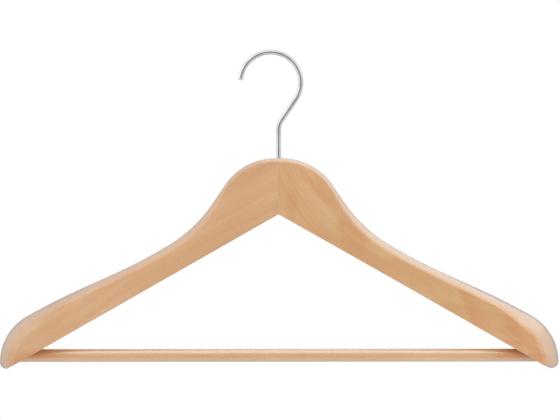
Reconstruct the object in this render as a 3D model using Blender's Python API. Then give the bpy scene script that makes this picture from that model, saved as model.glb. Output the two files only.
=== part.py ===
"""A contoured wooden suit hanger with a swivelling wire hook and a round trouser bar.

Frame: +X to the hanger's right, +Z up, the front faces -Y. The hook's stem turns about the Z axis, and the
origin is where that axis crosses the inside of the hook's crown, which is where the hanger sits on a rail.
Lengths are in metres and angles in degrees.
"""

import math

import bmesh
import bpy
from mathutils import Matrix, Vector

# Clearances and fineness
GAP = 0.0003                  # between pieces that touch
ARC_STEP = 6.0                # most degrees that one facet of a rounded outline turns
LONGEST_FACET = 0.007         # along the arms' outline
HEEL_STEPS = 10
FILLET_SHARE = 0.98           # most of a straight run that the roundings at its ends may take
MERGE = 1e-6                  # points closer than this are one
WIRE_SIDES = 16
ROUND_SIDES = 32

# Hook, a bent wire
WIRE_DIAMETER = 0.0039
BALL_DIAMETER = 0.0044        # round end at the hook's tip
CROWN_RADIUS = 0.0245         # to the middle of the wire
CROWN_OFFSET = 0.0063         # how far the crown's centre lies to the left of the stem
CROWN_TIP_ANGLE = 170.7       # from +X, where the crown ends in the ball
CROWN_SHANK_ANGLE = -34.3     # from +X, where the crown runs straight on to the stem
STEM_BEND_RADIUS = 0.015
HOOK_HEIGHT = 0.0830          # from the wood's top up to the inside of the crown
STEM_DEPTH = 0.0300           # the full wire goes this far into the wood, down to its shoulder
PIN_DIAMETER = 0.0030         # thin end of the stem below the shoulder

# Neck, where the two arms are glued together
NECK_HEIGHT = 0.0454          # from the wood's top down to the notch between the arms
NECK_THICKNESS = 0.014
NECK_FLAT_HALF = 0.015        # the neck's faces are flat this far to each side
NECK_CORNER = 0.0285           # where the flat top would meet the shoulder's slope
TONGUE_THICKNESS = 0.0076
TONGUE_LENGTH = 0.012

# Arms, seen from the front, with places measured along the underside and square to it
HALF_WIDTH = 0.225
ARM_SLOPE = 29.5
SHOULDER_PLACE, SHOULDER_HEIGHT = 0.0651, 0.0230
WAIST_PLACE, WAIST_HEIGHT = 0.1157, 0.0218
BUTT_LENGTH, BUTT_HEIGHT = 0.0486, 0.0292
NECK_ROUND = 0.049
SHOULDER_ROUND = 0.116
WAIST_ROUND = 0.402
BUTT_ROUND = 0.440
TIP_ROUND = 0.0425
HEEL_ROUND = 0.0050
HEEL_EDGE_SHARE = 0.25        # of that rounding where the tip's edge meets the flat faces

# Arms, seen from above
TIP_THICKNESS = 0.038
TIP_FORWARD = 0.020           # how far the tips' middle lies in front of the neck's middle

# Rounded top edge of the arms: its height on the face and its width across the top
NECK_EDGE = (0.0040, 0.0036)
ARM_EDGE = (0.0064, 0.0062)
BUTT_EDGE = (0.0140, 0.0180)
EDGE_CREASE = 20.0            # angle at which the rounded edge meets the flat face
EDGE_STEPS = 6
RIDGE_HALF = 0.0008           # least half width of the flat left along the top
NECK_EDGE_END = 0.020         # the neck's edge runs this far along the underside
ARM_EDGE_START = 0.060
BUTT_HEIGHT_START = 0.068     # where the edge begins to grow taller, measured back from the heel
BUTT_WIDTH_START = 0.130      # where it begins to grow wider
BUTT_EDGE_FULL = 0.038
TIP_HINGE = 0.0345            # the tip's cross-sections turn about a line this far back from the heel

# Trouser bar
BAR_DIAMETER = 0.0105
BAR_ENTRY = 0.0246            # the bar's middle meets the underside this far in from the tip
BAR_END = 0.010               # the bar stops this far short of the tip

# Hardware
COUNTERBORE_DEPTH = 0.0060    # above the notch
WASHER_DIAMETER = 0.0088
WASHER_THICKNESS = 0.0008
NUT_WIDTH = 0.0055            # across flats
NUT_THICKNESS = 0.0024
PIN_OVERHANG = 0.0008         # the stem's end shows this far below the nut
NAIL_DIAMETER = 0.0016
NAIL_LENGTH = 0.019
NAIL_HEAD_DIAMETER = 0.0028
NAIL_HEAD_THICKNESS = 0.0008
NAIL_FROM_TIP = 0.017
NAIL_SINK = 0.0003            # the head lies this far below the wood's back face

# Places worked out from the sizes above
WOOD_TOP = -HOOK_HEIGHT
NOTCH = WOOD_TOP - NECK_HEIGHT
SLOPE = math.radians(ARM_SLOPE)
ALONG = Vector((math.cos(SLOPE), -math.sin(SLOPE)))
ACROSS = Vector((math.sin(SLOPE), math.cos(SLOPE)))
HEEL_PLACE = HALF_WIDTH / math.cos(SLOPE)
CROWN_CENTRE = Vector((-CROWN_OFFSET,
                       -math.sqrt((CROWN_RADIUS - WIRE_DIAMETER / 2) ** 2 - CROWN_OFFSET ** 2)))
SHOULDER_Z = WOOD_TOP - STEM_DEPTH
CEILING = NOTCH + COUNTERBORE_DEPTH
WASHER_TOP = CEILING - GAP
NUT_TOP = WASHER_TOP - WASHER_THICKNESS - GAP
STEM_END = NUT_TOP - NUT_THICKNESS - PIN_OVERHANG


def underside_point(distance):
    """A point (x, z) on the right arm's underside, at a distance along it from the notch."""
    return Vector((0.0, NOTCH)) + ALONG * distance


def arm_point(distance, height):
    """A point (x, z) at a height above the right arm's underside."""
    return underside_point(distance) + ACROSS * height


def underside_z(x):
    """Height of the underside at a distance x from the middle."""
    return NOTCH - abs(x) * math.tan(SLOPE)


def face_bulge(x):
    """0 on the neck's flat faces, growing with the square of the distance to 1 at the tip."""
    return max(0.0, (abs(x) - NECK_FLAT_HALF) / (HALF_WIDTH - NECK_FLAT_HALF)) ** 2


def middle_y(x):
    """Middle of the wood's thickness at a distance x from the middle of the neck."""
    return -TIP_FORWARD * face_bulge(x)


def half_thickness(x):
    """Half of the wood's thickness at a distance x from the middle of the neck."""
    return (NECK_THICKNESS + (TIP_THICKNESS - NECK_THICKNESS) * face_bulge(x)) / 2


BAR_ENTRY_X = HALF_WIDTH - BAR_ENTRY
BAR_Y = middle_y(BAR_ENTRY_X)
BAR_Z = underside_z(BAR_ENTRY_X)
BAR_END_X = HALF_WIDTH - BAR_END
NAIL_X = HALF_WIDTH - NAIL_FROM_TIP


def tangent_lengths(corners, radii):
    """How far each rounding reaches along its two runs, drawn in where two would meet on a run."""
    reaches = []
    for before, corner, after, radius in zip(corners, corners[1:], corners[2:], radii):
        half = (before - corner).angle(after - corner) / 2
        reaches.append(radius / math.tan(half))
    reaches = [0.0] + reaches + [0.0]
    runs = [(after - before).length for before, after in zip(corners, corners[1:])]
    shares = [min(1.0, FILLET_SHARE * run / (near + far))
              for run, near, far in zip(runs, reaches, reaches[1:])]
    return [reach * min(pair) for reach, pair in zip(reaches[1:], zip(shares, shares[1:]))]


def rounded_path(corners, radii):
    """A polyline (x, z) through corners whose inner ones are rounded to the given radii."""
    points = [corners[0]]
    reaches = tangent_lengths(corners, radii)
    for before, corner, after, reach in zip(corners, corners[1:], corners[2:], reaches):
        back, ahead = (before - corner).normalized(), (after - corner).normalized()
        half = back.angle(ahead) / 2
        centre = corner + (back + ahead).normalized() * reach / math.cos(half)
        start = corner + back * reach - centre
        turn = math.copysign(math.pi - 2 * half, ahead.cross(back))
        steps = max(2, math.ceil(math.degrees(abs(turn)) / ARC_STEP))
        for step in range(steps + 1):
            angle = turn * step / steps
            points.append(centre + Vector((start.x * math.cos(angle) - start.y * math.sin(angle),
                                           start.x * math.sin(angle) + start.y * math.cos(angle))))
    return points + [corners[-1]]


def split_long(points, longest):
    """The same polyline with its longer runs cut into equal shorter ones."""
    finer = [points[0]]
    for before, after in zip(points, points[1:]):
        steps = max(1, math.ceil((after - before).length / longest))
        finer += [before.lerp(after, step / steps) for step in range(1, steps + 1)]
    return finer


def smooth_step(start, end, value):
    """0 before start, 1 after end, with a soft rise between."""
    share = min(1.0, max(0.0, (value - start) / (end - start)))
    return share * share * (3 - 2 * share)


def edge_size(distance, butt_end):
    """Height and width of the rounded top edge at a distance along the underside."""
    arm_share = smooth_step(NECK_EDGE_END, ARM_EDGE_START, distance)
    size = []
    starts = (BUTT_HEIGHT_START, BUTT_WIDTH_START)
    for neck, arm, butt, start in zip(NECK_EDGE, ARM_EDGE, BUTT_EDGE, starts):
        butt_share = smooth_step(butt_end - start, butt_end - BUTT_EDGE_FULL, distance)
        plain = neck + (arm - neck) * arm_share
        size.append(plain + (butt - plain) * butt_share)
    return size


def arm_outline():
    """The right arm's outline from the middle of its top, round the tip, down to the sharp heel."""
    tip_place = (HALF_WIDTH - BUTT_HEIGHT * math.sin(SLOPE)) / math.cos(SLOPE)
    corners = [Vector((0.0, WOOD_TOP)), Vector((NECK_CORNER, WOOD_TOP)),
               arm_point(SHOULDER_PLACE, SHOULDER_HEIGHT), arm_point(WAIST_PLACE, WAIST_HEIGHT),
               arm_point(tip_place - BUTT_LENGTH, BUTT_HEIGHT), arm_point(tip_place, BUTT_HEIGHT),
               underside_point(HEEL_PLACE)]
    radii = [NECK_ROUND, SHOULDER_ROUND, WAIST_ROUND, BUTT_ROUND, TIP_ROUND]
    path = rounded_path(corners, radii)
    return split_long(path[:-1], LONGEST_FACET) + path[-1:]


def arm_stations():
    """Stations along the right arm: underside point, point on the crease, top point, width of the edge."""
    stations = []
    for point in arm_outline():
        foot = (point - underside_point(0.0)).dot(ALONG)
        lean = smooth_step(0.0, SHOULDER_PLACE, point.x)
        place = (1 - lean) * point.x / math.cos(SLOPE) + lean * foot
        base = underside_point(min(place, HEEL_PLACE - TIP_HINGE))
        height, width = edge_size(foot, HEEL_PLACE)
        crease = base.lerp(point, 1 - height / (point - base).length)
        stations.append((base, crease, point, width))
    return stations


def edge_profile():
    """Steps up the rounded edge, from the crease to the ridge: shares of its height and of its width."""
    crease = math.radians(EDGE_CREASE)
    steps = []
    for step in range(EDGE_STEPS + 1):
        angle = crease + (math.pi / 2 - crease) * step / EDGE_STEPS
        rise = (math.sin(angle) - math.sin(crease)) / (1 - math.sin(crease))
        steps.append((rise, 1 - math.cos(angle) / math.cos(crease)))
    return steps


def ring(base, crease, point, width, side):
    """One closed cross-section of the arm, from the underside up over the top and down the back."""
    front, back = [], []
    for face, outline in ((-1, front), (1, back)):
        outline.append((base, middle_y(base.x) + face * half_thickness(base.x)))
        depth = half_thickness(crease.x)
        wide = min(width, depth - RIDGE_HALF)
        for rise, inward in edge_profile():
            outline.append((crease.lerp(point, rise), middle_y(crease.x) + face * (depth - wide * inward)))
    return [Vector((side * place.x, y, place.y)) for place, y in front + back[::-1]]


def heel_rings(above, sharp, side):
    """Rings that round the sharp heel, most at the ridge and least where the crease meets the underside."""
    inward = Vector((-side * ALONG.x, 0.0, -ALONG.y))
    rises = [0.0] + [rise for rise, _ in edge_profile()]
    rings = [[] for _ in range(HEEL_STEPS + 1)]
    for start, corner, rise in zip(above, sharp, rises + rises[::-1]):
        if (start - corner).length < MERGE:
            for row in rings:
                row.append(corner)
            continue
        upward = (start - corner).normalized()
        half = upward.angle(inward) / 2
        reach = HEEL_ROUND * (HEEL_EDGE_SHARE + (1 - HEEL_EDGE_SHARE) * rise) / math.tan(half)
        reach = min(reach, FILLET_SHARE * (start - corner).length)
        centre = corner + (upward + inward).normalized() * reach / math.cos(half)
        turn = math.pi - 2 * half
        for step, row in enumerate(rings):
            angle = turn * step / HEEL_STEPS
            row.append(centre + ((corner + upward * reach - centre) * math.sin(turn - angle)
                                 + (corner + inward * reach - centre) * math.sin(angle)) / math.sin(turn))
    return rings


def mesh_object(name, mesh_data, material, smooth_angle=None):
    """An object from a bmesh, with outward normals, its material and smooth round faces."""
    bmesh.ops.recalc_face_normals(mesh_data, faces=mesh_data.faces)
    mesh = bpy.data.meshes.new(name)
    mesh_data.to_mesh(mesh)
    mesh_data.free()
    if smooth_angle:
        mesh.shade_smooth()
        mesh.set_sharp_from_angle(angle=math.radians(smooth_angle))
    obj = bpy.data.objects.new(name, mesh)
    bpy.context.collection.objects.link(obj)
    if material:
        mesh.materials.append(material)
    return obj


def loft(rings):
    """A bmesh skin over closed rings that all have as many points, closed at both ends."""
    mesh_data = bmesh.new()
    rows = [[mesh_data.verts.new(point) for point in row] for row in rings]
    for low, high in zip(rows, rows[1:]):
        for index in range(len(low)):
            after = (index + 1) % len(low)
            mesh_data.faces.new((low[index], low[after], high[after], high[index]))
    mesh_data.faces.new(rows[0][::-1])
    mesh_data.faces.new(rows[-1])
    bmesh.ops.remove_doubles(mesh_data, verts=mesh_data.verts, dist=MERGE)
    return mesh_data


def turned(name, profile, material=None, sides=ROUND_SIDES):
    """A solid turned about the Z axis from (radius, z) points: from axis to axis, or a closed ring."""
    mesh_data = bmesh.new()
    points = [mesh_data.verts.new((radius, 0.0, z)) for radius, z in profile]
    edges = [mesh_data.edges.new(pair) for pair in zip(points, points[1:])]
    if profile[0][0] > 0:
        edges.append(mesh_data.edges.new((points[-1], points[0])))
    bmesh.ops.spin(mesh_data, geom=points + edges, cent=(0, 0, 0), axis=(0, 0, 1),
                   angle=2 * math.pi, steps=sides, use_merge=True)
    bmesh.ops.remove_doubles(mesh_data, verts=mesh_data.verts, dist=MERGE)
    return mesh_object(name, mesh_data, material, 40)


def cylinder(name, radius, start, end, material=None, sides=ROUND_SIDES):
    """A solid cylinder between two points."""
    mesh_data = bmesh.new()
    start, end = Vector(start), Vector(end)
    turn = (end - start).to_track_quat("Z", "Y").to_matrix().to_4x4()
    bmesh.ops.create_cone(mesh_data, cap_ends=True, segments=sides, radius1=radius, radius2=radius,
                          depth=(end - start).length, matrix=Matrix.Translation((start + end) / 2) @ turn)
    return mesh_object(name, mesh_data, material, 40)


def prism(name, outline, low, high):
    """An upright prism from (x, y) points, for cutting."""
    rows = [[Vector((x, y, z)) for x, y in outline] for z in (low, high)]
    return mesh_object(name, loft(rows), None)


def cut(target, cutter):
    """Takes the cutter's shape out of the target and hides the cutter."""
    cutter.hide_render = True
    cutter.display_type = "WIRE"
    modifier = target.modifiers.new(cutter.name, "BOOLEAN")
    modifier.operation = "DIFFERENCE"
    modifier.solver = "EXACT"
    modifier.object = cutter


def make_material(name, colour, roughness, metallic):
    """A plain material with one colour."""
    material = bpy.data.materials.new(name)
    material.use_nodes = True
    shader = material.node_tree.nodes["Principled BSDF"]
    shader.inputs["Base Color"].default_value = (*colour, 1.0)
    shader.inputs["Roughness"].default_value = roughness
    shader.inputs["Metallic"].default_value = metallic
    return material


def seam_outline(side, half_tongue, length):
    """Plan (x, y) of all that lies beyond one arm's face of the bridle joint, to be cut away."""
    far = HALF_WIDTH * 2
    seam = side * GAP / 2
    root = [(seam, -half_tongue), (-length, -half_tongue), (-length, half_tongue), (seam, half_tongue)]
    return [(seam, -far)] + root + [(seam, far), (-side * far, far), (-side * far, -far)]


def stem_bore():
    """Cutter for the stem's stepped bore and the counterbore below it."""
    wide = WIRE_DIAMETER / 2 + GAP
    thin = PIN_DIAMETER / 2 + GAP
    counter = WASHER_DIAMETER / 2 + GAP
    step = SHOULDER_Z - GAP
    profile = [(0.0, WOOD_TOP + 0.01), (wide, WOOD_TOP + 0.01), (wide, step), (thin, step),
               (thin, CEILING), (counter, CEILING), (counter, NOTCH - 0.01), (0.0, NOTCH - 0.01)]
    return turned("stem_bore", profile)


def nail_tip():
    """Depth in Y that the nails reach."""
    return middle_y(NAIL_X) + half_thickness(NAIL_X) - NAIL_SINK - NAIL_LENGTH


def nail_hole(side):
    """Cutter for a nail's hole and the seat of its head, from the arm's back into the bar's socket."""
    x = side * NAIL_X
    surface = middle_y(NAIL_X) + half_thickness(NAIL_X)
    seat = surface - NAIL_SINK - NAIL_HEAD_THICKNESS - GAP
    shank = cylinder(f"nail_hole_{side}", NAIL_DIAMETER / 2 + GAP, (x, nail_tip() - GAP, BAR_Z),
                     (x, surface + 0.01, BAR_Z), sides=16)
    head = cylinder(f"nail_seat_{side}", NAIL_HEAD_DIAMETER / 2 + GAP, (x, seat, BAR_Z),
                    (x, surface + 0.01, BAR_Z), sides=20)
    return shank, head


def make_arm(name, side, material):
    """One wooden arm, its half of the bridle joint, and its bores."""
    stations = arm_stations()
    half = [ring(*station, side) for station in stations]
    half = half[:-1] + heel_rings(half[-2], half[-1], side)
    tongue = [ring(*station, -side) for station in stations[1:] if station[0].x < 2 * TONGUE_LENGTH]
    arm = mesh_object(name, loft(tongue[::-1] + half), material, 18)
    if side > 0:
        joint = seam_outline(side, TONGUE_THICKNESS / 2, TONGUE_LENGTH)
    else:
        joint = seam_outline(side, TONGUE_THICKNESS / 2 + GAP, TONGUE_LENGTH + GAP)
    cut(arm, prism(f"{name}_seam", joint, underside_z(HALF_WIDTH) * 2, 0.0))
    cut(arm, stem_bore())
    cut(arm, cylinder(f"{name}_socket", BAR_DIAMETER / 2 + GAP, (side * HALF_WIDTH / 2, BAR_Y, BAR_Z),
                      (side * (BAR_END_X + GAP), BAR_Y, BAR_Z)))
    for hole in nail_hole(side):
        cut(arm, hole)
    return arm


def hook_path():
    """Points (x, z) down the middle of the hook's wire, from the ball to the stem's shoulder."""
    sweep = CROWN_TIP_ANGLE - CROWN_SHANK_ANGLE
    steps = math.ceil(sweep / ARC_STEP)
    crown = []
    for step in range(steps + 1):
        angle = math.radians(CROWN_TIP_ANGLE - sweep * step / steps)
        crown.append(CROWN_CENTRE + Vector((math.cos(angle), math.sin(angle))) * CROWN_RADIUS)
    shank = Vector((math.sin(math.radians(CROWN_SHANK_ANGLE)), -math.cos(math.radians(CROWN_SHANK_ANGLE))))
    corner = crown[-1] + shank * (crown[-1].x / -shank.x)
    return crown[:-1] + rounded_path([crown[-1], corner, Vector((0.0, SHOULDER_Z))], [STEM_BEND_RADIUS])


def wire_ring(centre, direction, radius):
    """A circle of points square to the wire's direction in the XZ plane."""
    normal = Vector((direction.y, -direction.x))
    points = []
    for side in range(WIRE_SIDES):
        angle = 2 * math.pi * side / WIRE_SIDES
        flat = centre + normal * radius * math.cos(angle)
        points.append(Vector((flat.x, radius * math.sin(angle), flat.y)))
    return points


def make_hook(material):
    """The hook: one wire with a ball at its tip and a thin end below the stem's shoulder."""
    path = hook_path()
    wire, ball = WIRE_DIAMETER / 2, BALL_DIAMETER / 2
    outward = (path[0] - path[1]).normalized()
    join = math.degrees(math.acos(math.sqrt(ball ** 2 - wire ** 2) / ball))
    rings = []
    for step in range(1, 8):
        angle = math.radians(step * (180 - join) / 7)
        centre = path[0] + outward * ball * math.cos(angle)
        rings.append(wire_ring(centre, -outward, ball * math.sin(angle)))
    for before, point, after in zip(path, path[1:], path[2:]):
        rings.append(wire_ring(point, (after - before).normalized(), wire))
    down = Vector((0.0, -1.0))
    rings.append(wire_ring(path[-1], down, wire))
    rings.append(wire_ring(path[-1], down, PIN_DIAMETER / 2))
    rings.append(wire_ring(Vector((0.0, STEM_END)), down, PIN_DIAMETER / 2))
    mesh_data = loft(rings)
    return mesh_object("hook", mesh_data, material, 40)


def make_washer(material):
    """The washer that the wood hangs on."""
    outer, inner = WASHER_DIAMETER / 2, PIN_DIAMETER / 2 + GAP
    low = WASHER_TOP - WASHER_THICKNESS
    profile = [(inner, low), (outer, low), (outer, WASHER_TOP), (inner, WASHER_TOP)]
    return turned("hook_washer", profile, material)


def make_nut(material):
    """The hexagon nut on the stem's thin end."""
    low = NUT_TOP - NUT_THICKNESS
    corner = NUT_WIDTH / 2 / math.cos(math.radians(30))
    nut = cylinder("hook_nut", corner, (0, 0, low), (0, 0, NUT_TOP), material, sides=6)
    cut(nut, cylinder("nut_thread", PIN_DIAMETER / 2 + GAP, (0, 0, low - 0.001), (0, 0, NUT_TOP + 0.001),
                      sides=24))
    return nut


def make_bar(material):
    """The round trouser bar, with a blind hole for the nail at each end."""
    bar = cylinder("trouser_bar", BAR_DIAMETER / 2, (-BAR_END_X, BAR_Y, BAR_Z), (BAR_END_X, BAR_Y, BAR_Z),
                   material)
    for side in (-1, 1):
        cut(bar, cylinder(f"bar_hole_{side}", NAIL_DIAMETER / 2 + GAP, (side * NAIL_X, nail_tip() - GAP, BAR_Z),
                          (side * NAIL_X, BAR_Y + BAR_DIAMETER, BAR_Z), sides=16))
    return bar


def make_nail(name, side, material):
    """A panel pin with a flat head, turned and then laid along Y."""
    shank, head = NAIL_DIAMETER / 2, NAIL_HEAD_DIAMETER / 2
    neck = NAIL_LENGTH - NAIL_HEAD_THICKNESS
    profile = [(0.0, 0.0), (shank * 0.5, 0.0), (shank, shank * 1.5), (shank, neck), (head, neck),
               (head, NAIL_LENGTH), (0.0, NAIL_LENGTH)]
    nail = turned(name, profile, material, sides=16)
    nail.data.transform(Matrix.Translation((side * NAIL_X, nail_tip(), BAR_Z))
                        @ Matrix.Rotation(math.radians(-90), 4, "X"))
    return nail


def main():
    """Clears the file and makes every piece of the hanger."""
    for obj in list(bpy.data.objects):
        bpy.data.objects.remove(obj, do_unlink=True)
    wood = make_material("lotus_wood", (0.66, 0.40, 0.22), 0.42, 0.0)
    bar_wood = make_material("bar_wood", (0.69, 0.45, 0.26), 0.45, 0.0)
    chrome = make_material("chrome", (0.75, 0.76, 0.78), 0.12, 1.0)
    steel = make_material("zinc_steel", (0.55, 0.56, 0.58), 0.35, 1.0)
    make_arm("left_arm", -1, wood)
    make_arm("right_arm", 1, wood)
    make_hook(chrome)
    make_washer(steel)
    make_nut(steel)
    make_bar(bar_wood)
    make_nail("bar_pin_left", -1, steel)
    make_nail("bar_pin_right", 1, steel)


main()
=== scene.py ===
"""Looks of a contoured wooden hanger: two pale shaped arms, a bright wire hook and a round trouser bar.

The frame is the CAD's: +X to the hanger's right, +Z up, the front faces -Y, and the origin is where the
stem's axis crosses the inside of the hook's crown. Lengths are in metres and angles in degrees.
"""

import logging
import math
from dataclasses import dataclass, field
from enum import Enum

import bmesh
import bpy
from mathutils import Matrix, Vector


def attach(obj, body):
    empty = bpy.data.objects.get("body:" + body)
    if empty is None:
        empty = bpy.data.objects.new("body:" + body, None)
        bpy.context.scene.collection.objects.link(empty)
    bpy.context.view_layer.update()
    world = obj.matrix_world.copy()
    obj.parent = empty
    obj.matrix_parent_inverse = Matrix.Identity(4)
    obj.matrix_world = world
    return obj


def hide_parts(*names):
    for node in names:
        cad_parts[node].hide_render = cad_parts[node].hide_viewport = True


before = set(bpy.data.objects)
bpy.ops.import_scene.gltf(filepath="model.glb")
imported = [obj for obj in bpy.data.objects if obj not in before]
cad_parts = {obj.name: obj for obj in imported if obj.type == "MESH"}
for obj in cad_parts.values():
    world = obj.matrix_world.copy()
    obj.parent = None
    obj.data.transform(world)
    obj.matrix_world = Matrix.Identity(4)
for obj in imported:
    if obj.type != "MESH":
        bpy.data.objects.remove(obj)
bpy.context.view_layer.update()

Socket = bpy.types.NodeSocket
Object = bpy.types.Object
Material = bpy.types.Material
Tree = bpy.types.NodeTree
Pair = tuple[float, float]
Colour = tuple[float, float, float]
Place = tuple[float, float, float]

MERGE = 1e-6                  # points closer than this are one
MILLIMETRES = 1000.0          # in a metre
PICTURE_WIDTH = 560           # pixels of the photograph
SENSOR_WIDTH = 36.0           # millimetres
OVERRUN = 0.01                # how far a cutting shape runs past the surface
SHEEN_AND_SHADOW_TONE = "sheen_and_shadow_tone"   # point attribute: a piece's painted tone, painted sheen on the arms' edges, painted shadow at the bar's ends
ROD_RADIUS = "rod_radius"     # point attribute of a rod's path

log = logging.getLogger("hanger")


class Side(Enum):
    """Which arm or end, as the sign of its X."""

    LEFT = -1
    RIGHT = 1

    @property
    def word(self) -> str:
        """The side's name in small letters."""
        return self.name.lower()


class Body(Enum):
    """The CAD bodies that pieces ride on."""

    WOOD = "wood_frame"
    HOOK = "swivel_hook"


class Slot(Enum):
    """The record's material slots."""

    ARMS = "arm_wood"
    BAR = "bar_wood"
    HOOK = "hook_chrome"
    STEEL = "zinc_steel"


def smooth_step(start: float, end: float, value: float) -> float:
    """Gives a soft rise from 0 to 1.

    Args:
        start: Value at and before which the result is 0.
        end: Value at and after which the result is 1.
        value: Where to read the rise.

    Returns:
        A share between 0 and 1.
    """
    share = min(1.0, max(0.0, (value - start) / (end - start)))
    return share * share * (3 - 2 * share)


def tangent_lengths(corners: list[Vector], radii: list[float], most: float) -> list[float]:
    """Works out how far each rounding reaches along its two runs.

    Args:
        corners: The polyline's corners, its two ends included.
        radii: A radius for each inner corner.
        most: Largest share of a run that the roundings at its ends may take together.

    Returns:
        One reach for each inner corner, drawn in where two would meet on a run.
    """
    reaches = [0.0]
    for before, corner, after, radius in zip(corners, corners[1:], corners[2:], radii):
        reaches.append(radius / math.tan((before - corner).angle(after - corner) / 2))
    reaches.append(0.0)
    runs = [(after - before).length for before, after in zip(corners, corners[1:])]
    shares = [min(1.0, most * run / (near + far)) for run, near, far in zip(runs, reaches, reaches[1:])]
    return [reach * min(pair) for reach, pair in zip(reaches[1:], zip(shares, shares[1:]))]


def rounded_path(corners: list[Vector], radii: list[float], arc_step: float,
                 most: float = 0.98) -> list[Vector]:
    """Rounds the inner corners of a polyline.

    Args:
        corners: Points (x, z), the two ends included.
        radii: A radius for each inner corner.
        arc_step: Most degrees that one step of a rounding turns.
        most: Largest share of a run that the roundings at its ends may take together.

    Returns:
        The points (x, z) of the rounded polyline.
    """
    points = [corners[0]]
    reaches = tangent_lengths(corners, radii, most)
    for before, corner, after, reach in zip(corners, corners[1:], corners[2:], reaches):
        back, ahead = (before - corner).normalized(), (after - corner).normalized()
        half = back.angle(ahead) / 2
        centre = corner + (back + ahead).normalized() * reach / math.cos(half)
        start = corner + back * reach - centre
        turn = math.copysign(math.pi - 2 * half, ahead.cross(back))
        steps = max(2, math.ceil(math.degrees(abs(turn)) / arc_step))
        for step in range(steps + 1):
            angle = turn * step / steps
            points.append(centre + Vector((start.x * math.cos(angle) - start.y * math.sin(angle),
                                           start.x * math.sin(angle) + start.y * math.cos(angle))))
    return points + [corners[-1]]


def split_long(points: list[Vector], longest: float) -> list[Vector]:
    """Cuts the longer runs of a polyline into equal shorter ones.

    Args:
        points: The polyline's points.
        longest: Length above which a run is cut.

    Returns:
        The same polyline with more points.
    """
    finer = [points[0]]
    for before, after in zip(points, points[1:]):
        steps = max(1, math.ceil((after - before).length / longest))
        finer += [before.lerp(after, step / steps) for step in range(1, steps + 1)]
    return finer


def new_object(name: str, data: bpy.types.ID) -> Object:
    """Makes an object and links it to the scene.

    Args:
        name: The object's name.
        data: Its mesh, light or camera.

    Returns:
        The new object, at the origin.
    """
    made = bpy.data.objects.new(name, data)
    bpy.context.scene.collection.objects.link(made)
    return made


def store(mesh: bpy.types.Mesh, label: str, values: list[float]) -> None:
    """Stores a value for each point of a mesh under the attribute's name."""
    mesh.attributes.new(label, "FLOAT", "POINT").data.foreach_set("value", values)


def link_mesh(name: str, data: bmesh.types.BMesh) -> Object:
    """Turns a bmesh into an object of the scene with its faces outwards.

    Args:
        name: The object's name.
        data: The shape, which is freed.

    Returns:
        The new object, at the origin.
    """
    bmesh.ops.recalc_face_normals(data, faces=data.faces)
    mesh = bpy.data.meshes.new(name)
    data.to_mesh(mesh)
    data.free()
    return new_object(name, mesh)


def apply_modifiers(piece: Object) -> None:
    """Bakes a piece's modifiers into a plain mesh and removes them.

    Args:
        piece: The object to bake.
    """
    depsgraph = bpy.context.evaluated_depsgraph_get()
    depsgraph.update()
    mesh = bpy.data.meshes.new_from_object(piece.evaluated_get(depsgraph), depsgraph=depsgraph)
    piece.modifiers.clear()
    old = piece.data
    piece.data = mesh
    bpy.data.meshes.remove(old)


def combine(piece: Object, tools: list[Object], operation: str = "DIFFERENCE") -> None:
    """Cuts a piece with other shapes, or keeps what they share, and removes those shapes.

    Args:
        piece: The object that is cut.
        tools: The cutting shapes.
        operation: A Boolean modifier's operation.
    """
    for tool in tools:
        modifier = piece.modifiers.new(tool.name, "BOOLEAN")
        modifier.operation = operation
        modifier.solver = "EXACT"
        modifier.object = tool
    apply_modifiers(piece)
    for tool in tools:
        mesh = tool.data
        bpy.data.objects.remove(tool)
        bpy.data.meshes.remove(mesh)


def soften_shading(piece: Object, sharp_angle: float) -> None:
    """Shades a piece smooth up to an angle, with large faces keeping their own direction.

    Args:
        piece: The object to shade.
        sharp_angle: Edges that turn more than this stay sharp.
    """
    data = bmesh.new()
    data.from_mesh(piece.data)
    bmesh.ops.remove_doubles(data, verts=data.verts, dist=MERGE)
    bmesh.ops.dissolve_degenerate(data, edges=data.edges, dist=MERGE)
    data.to_mesh(piece.data)
    data.free()
    piece.data.shade_smooth()
    piece.data.set_sharp_from_angle(angle=math.radians(sharp_angle))
    weighted = piece.modifiers.new("weighted", "WEIGHTED_NORMAL")
    weighted.keep_sharp = True
    apply_modifiers(piece)


def turned(name: str, profile: list[Pair], sides: int) -> Object:
    """Turns a profile about the Z axis.

    Args:
        name: The object's name.
        profile: Points (radius, z), from axis to axis or as a closed ring.
        sides: Steps round the axis.

    Returns:
        The turned solid.
    """
    data = bmesh.new()
    points = [data.verts.new((radius, 0.0, z)) for radius, z in profile]
    edges = [data.edges.new(pair) for pair in zip(points, points[1:])]
    if profile[0][0] > 0:
        edges.append(data.edges.new((points[-1], points[0])))
    bmesh.ops.spin(data, geom=points + edges, cent=(0, 0, 0), axis=(0, 0, 1), angle=2 * math.pi,
                   steps=sides, use_merge=True)
    bmesh.ops.remove_doubles(data, verts=data.verts, dist=MERGE)
    return link_mesh(name, data)


def cylinder(name: str, radius: float, start: Place, end: Place, sides: int) -> Object:
    """Makes a closed cylinder between two points.

    Args:
        name: The object's name.
        radius: Its radius.
        start: Middle of one end.
        end: Middle of the other end.
        sides: Faces round it.

    Returns:
        The cylinder.
    """
    data = bmesh.new()
    first, last = Vector(start), Vector(end)
    turn = (last - first).to_track_quat("Z", "Y").to_matrix().to_4x4()
    bmesh.ops.create_cone(data, cap_ends=True, segments=sides, radius1=radius, radius2=radius,
                          depth=(last - first).length, matrix=Matrix.Translation((first + last) / 2) @ turn)
    return link_mesh(name, data)


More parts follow.
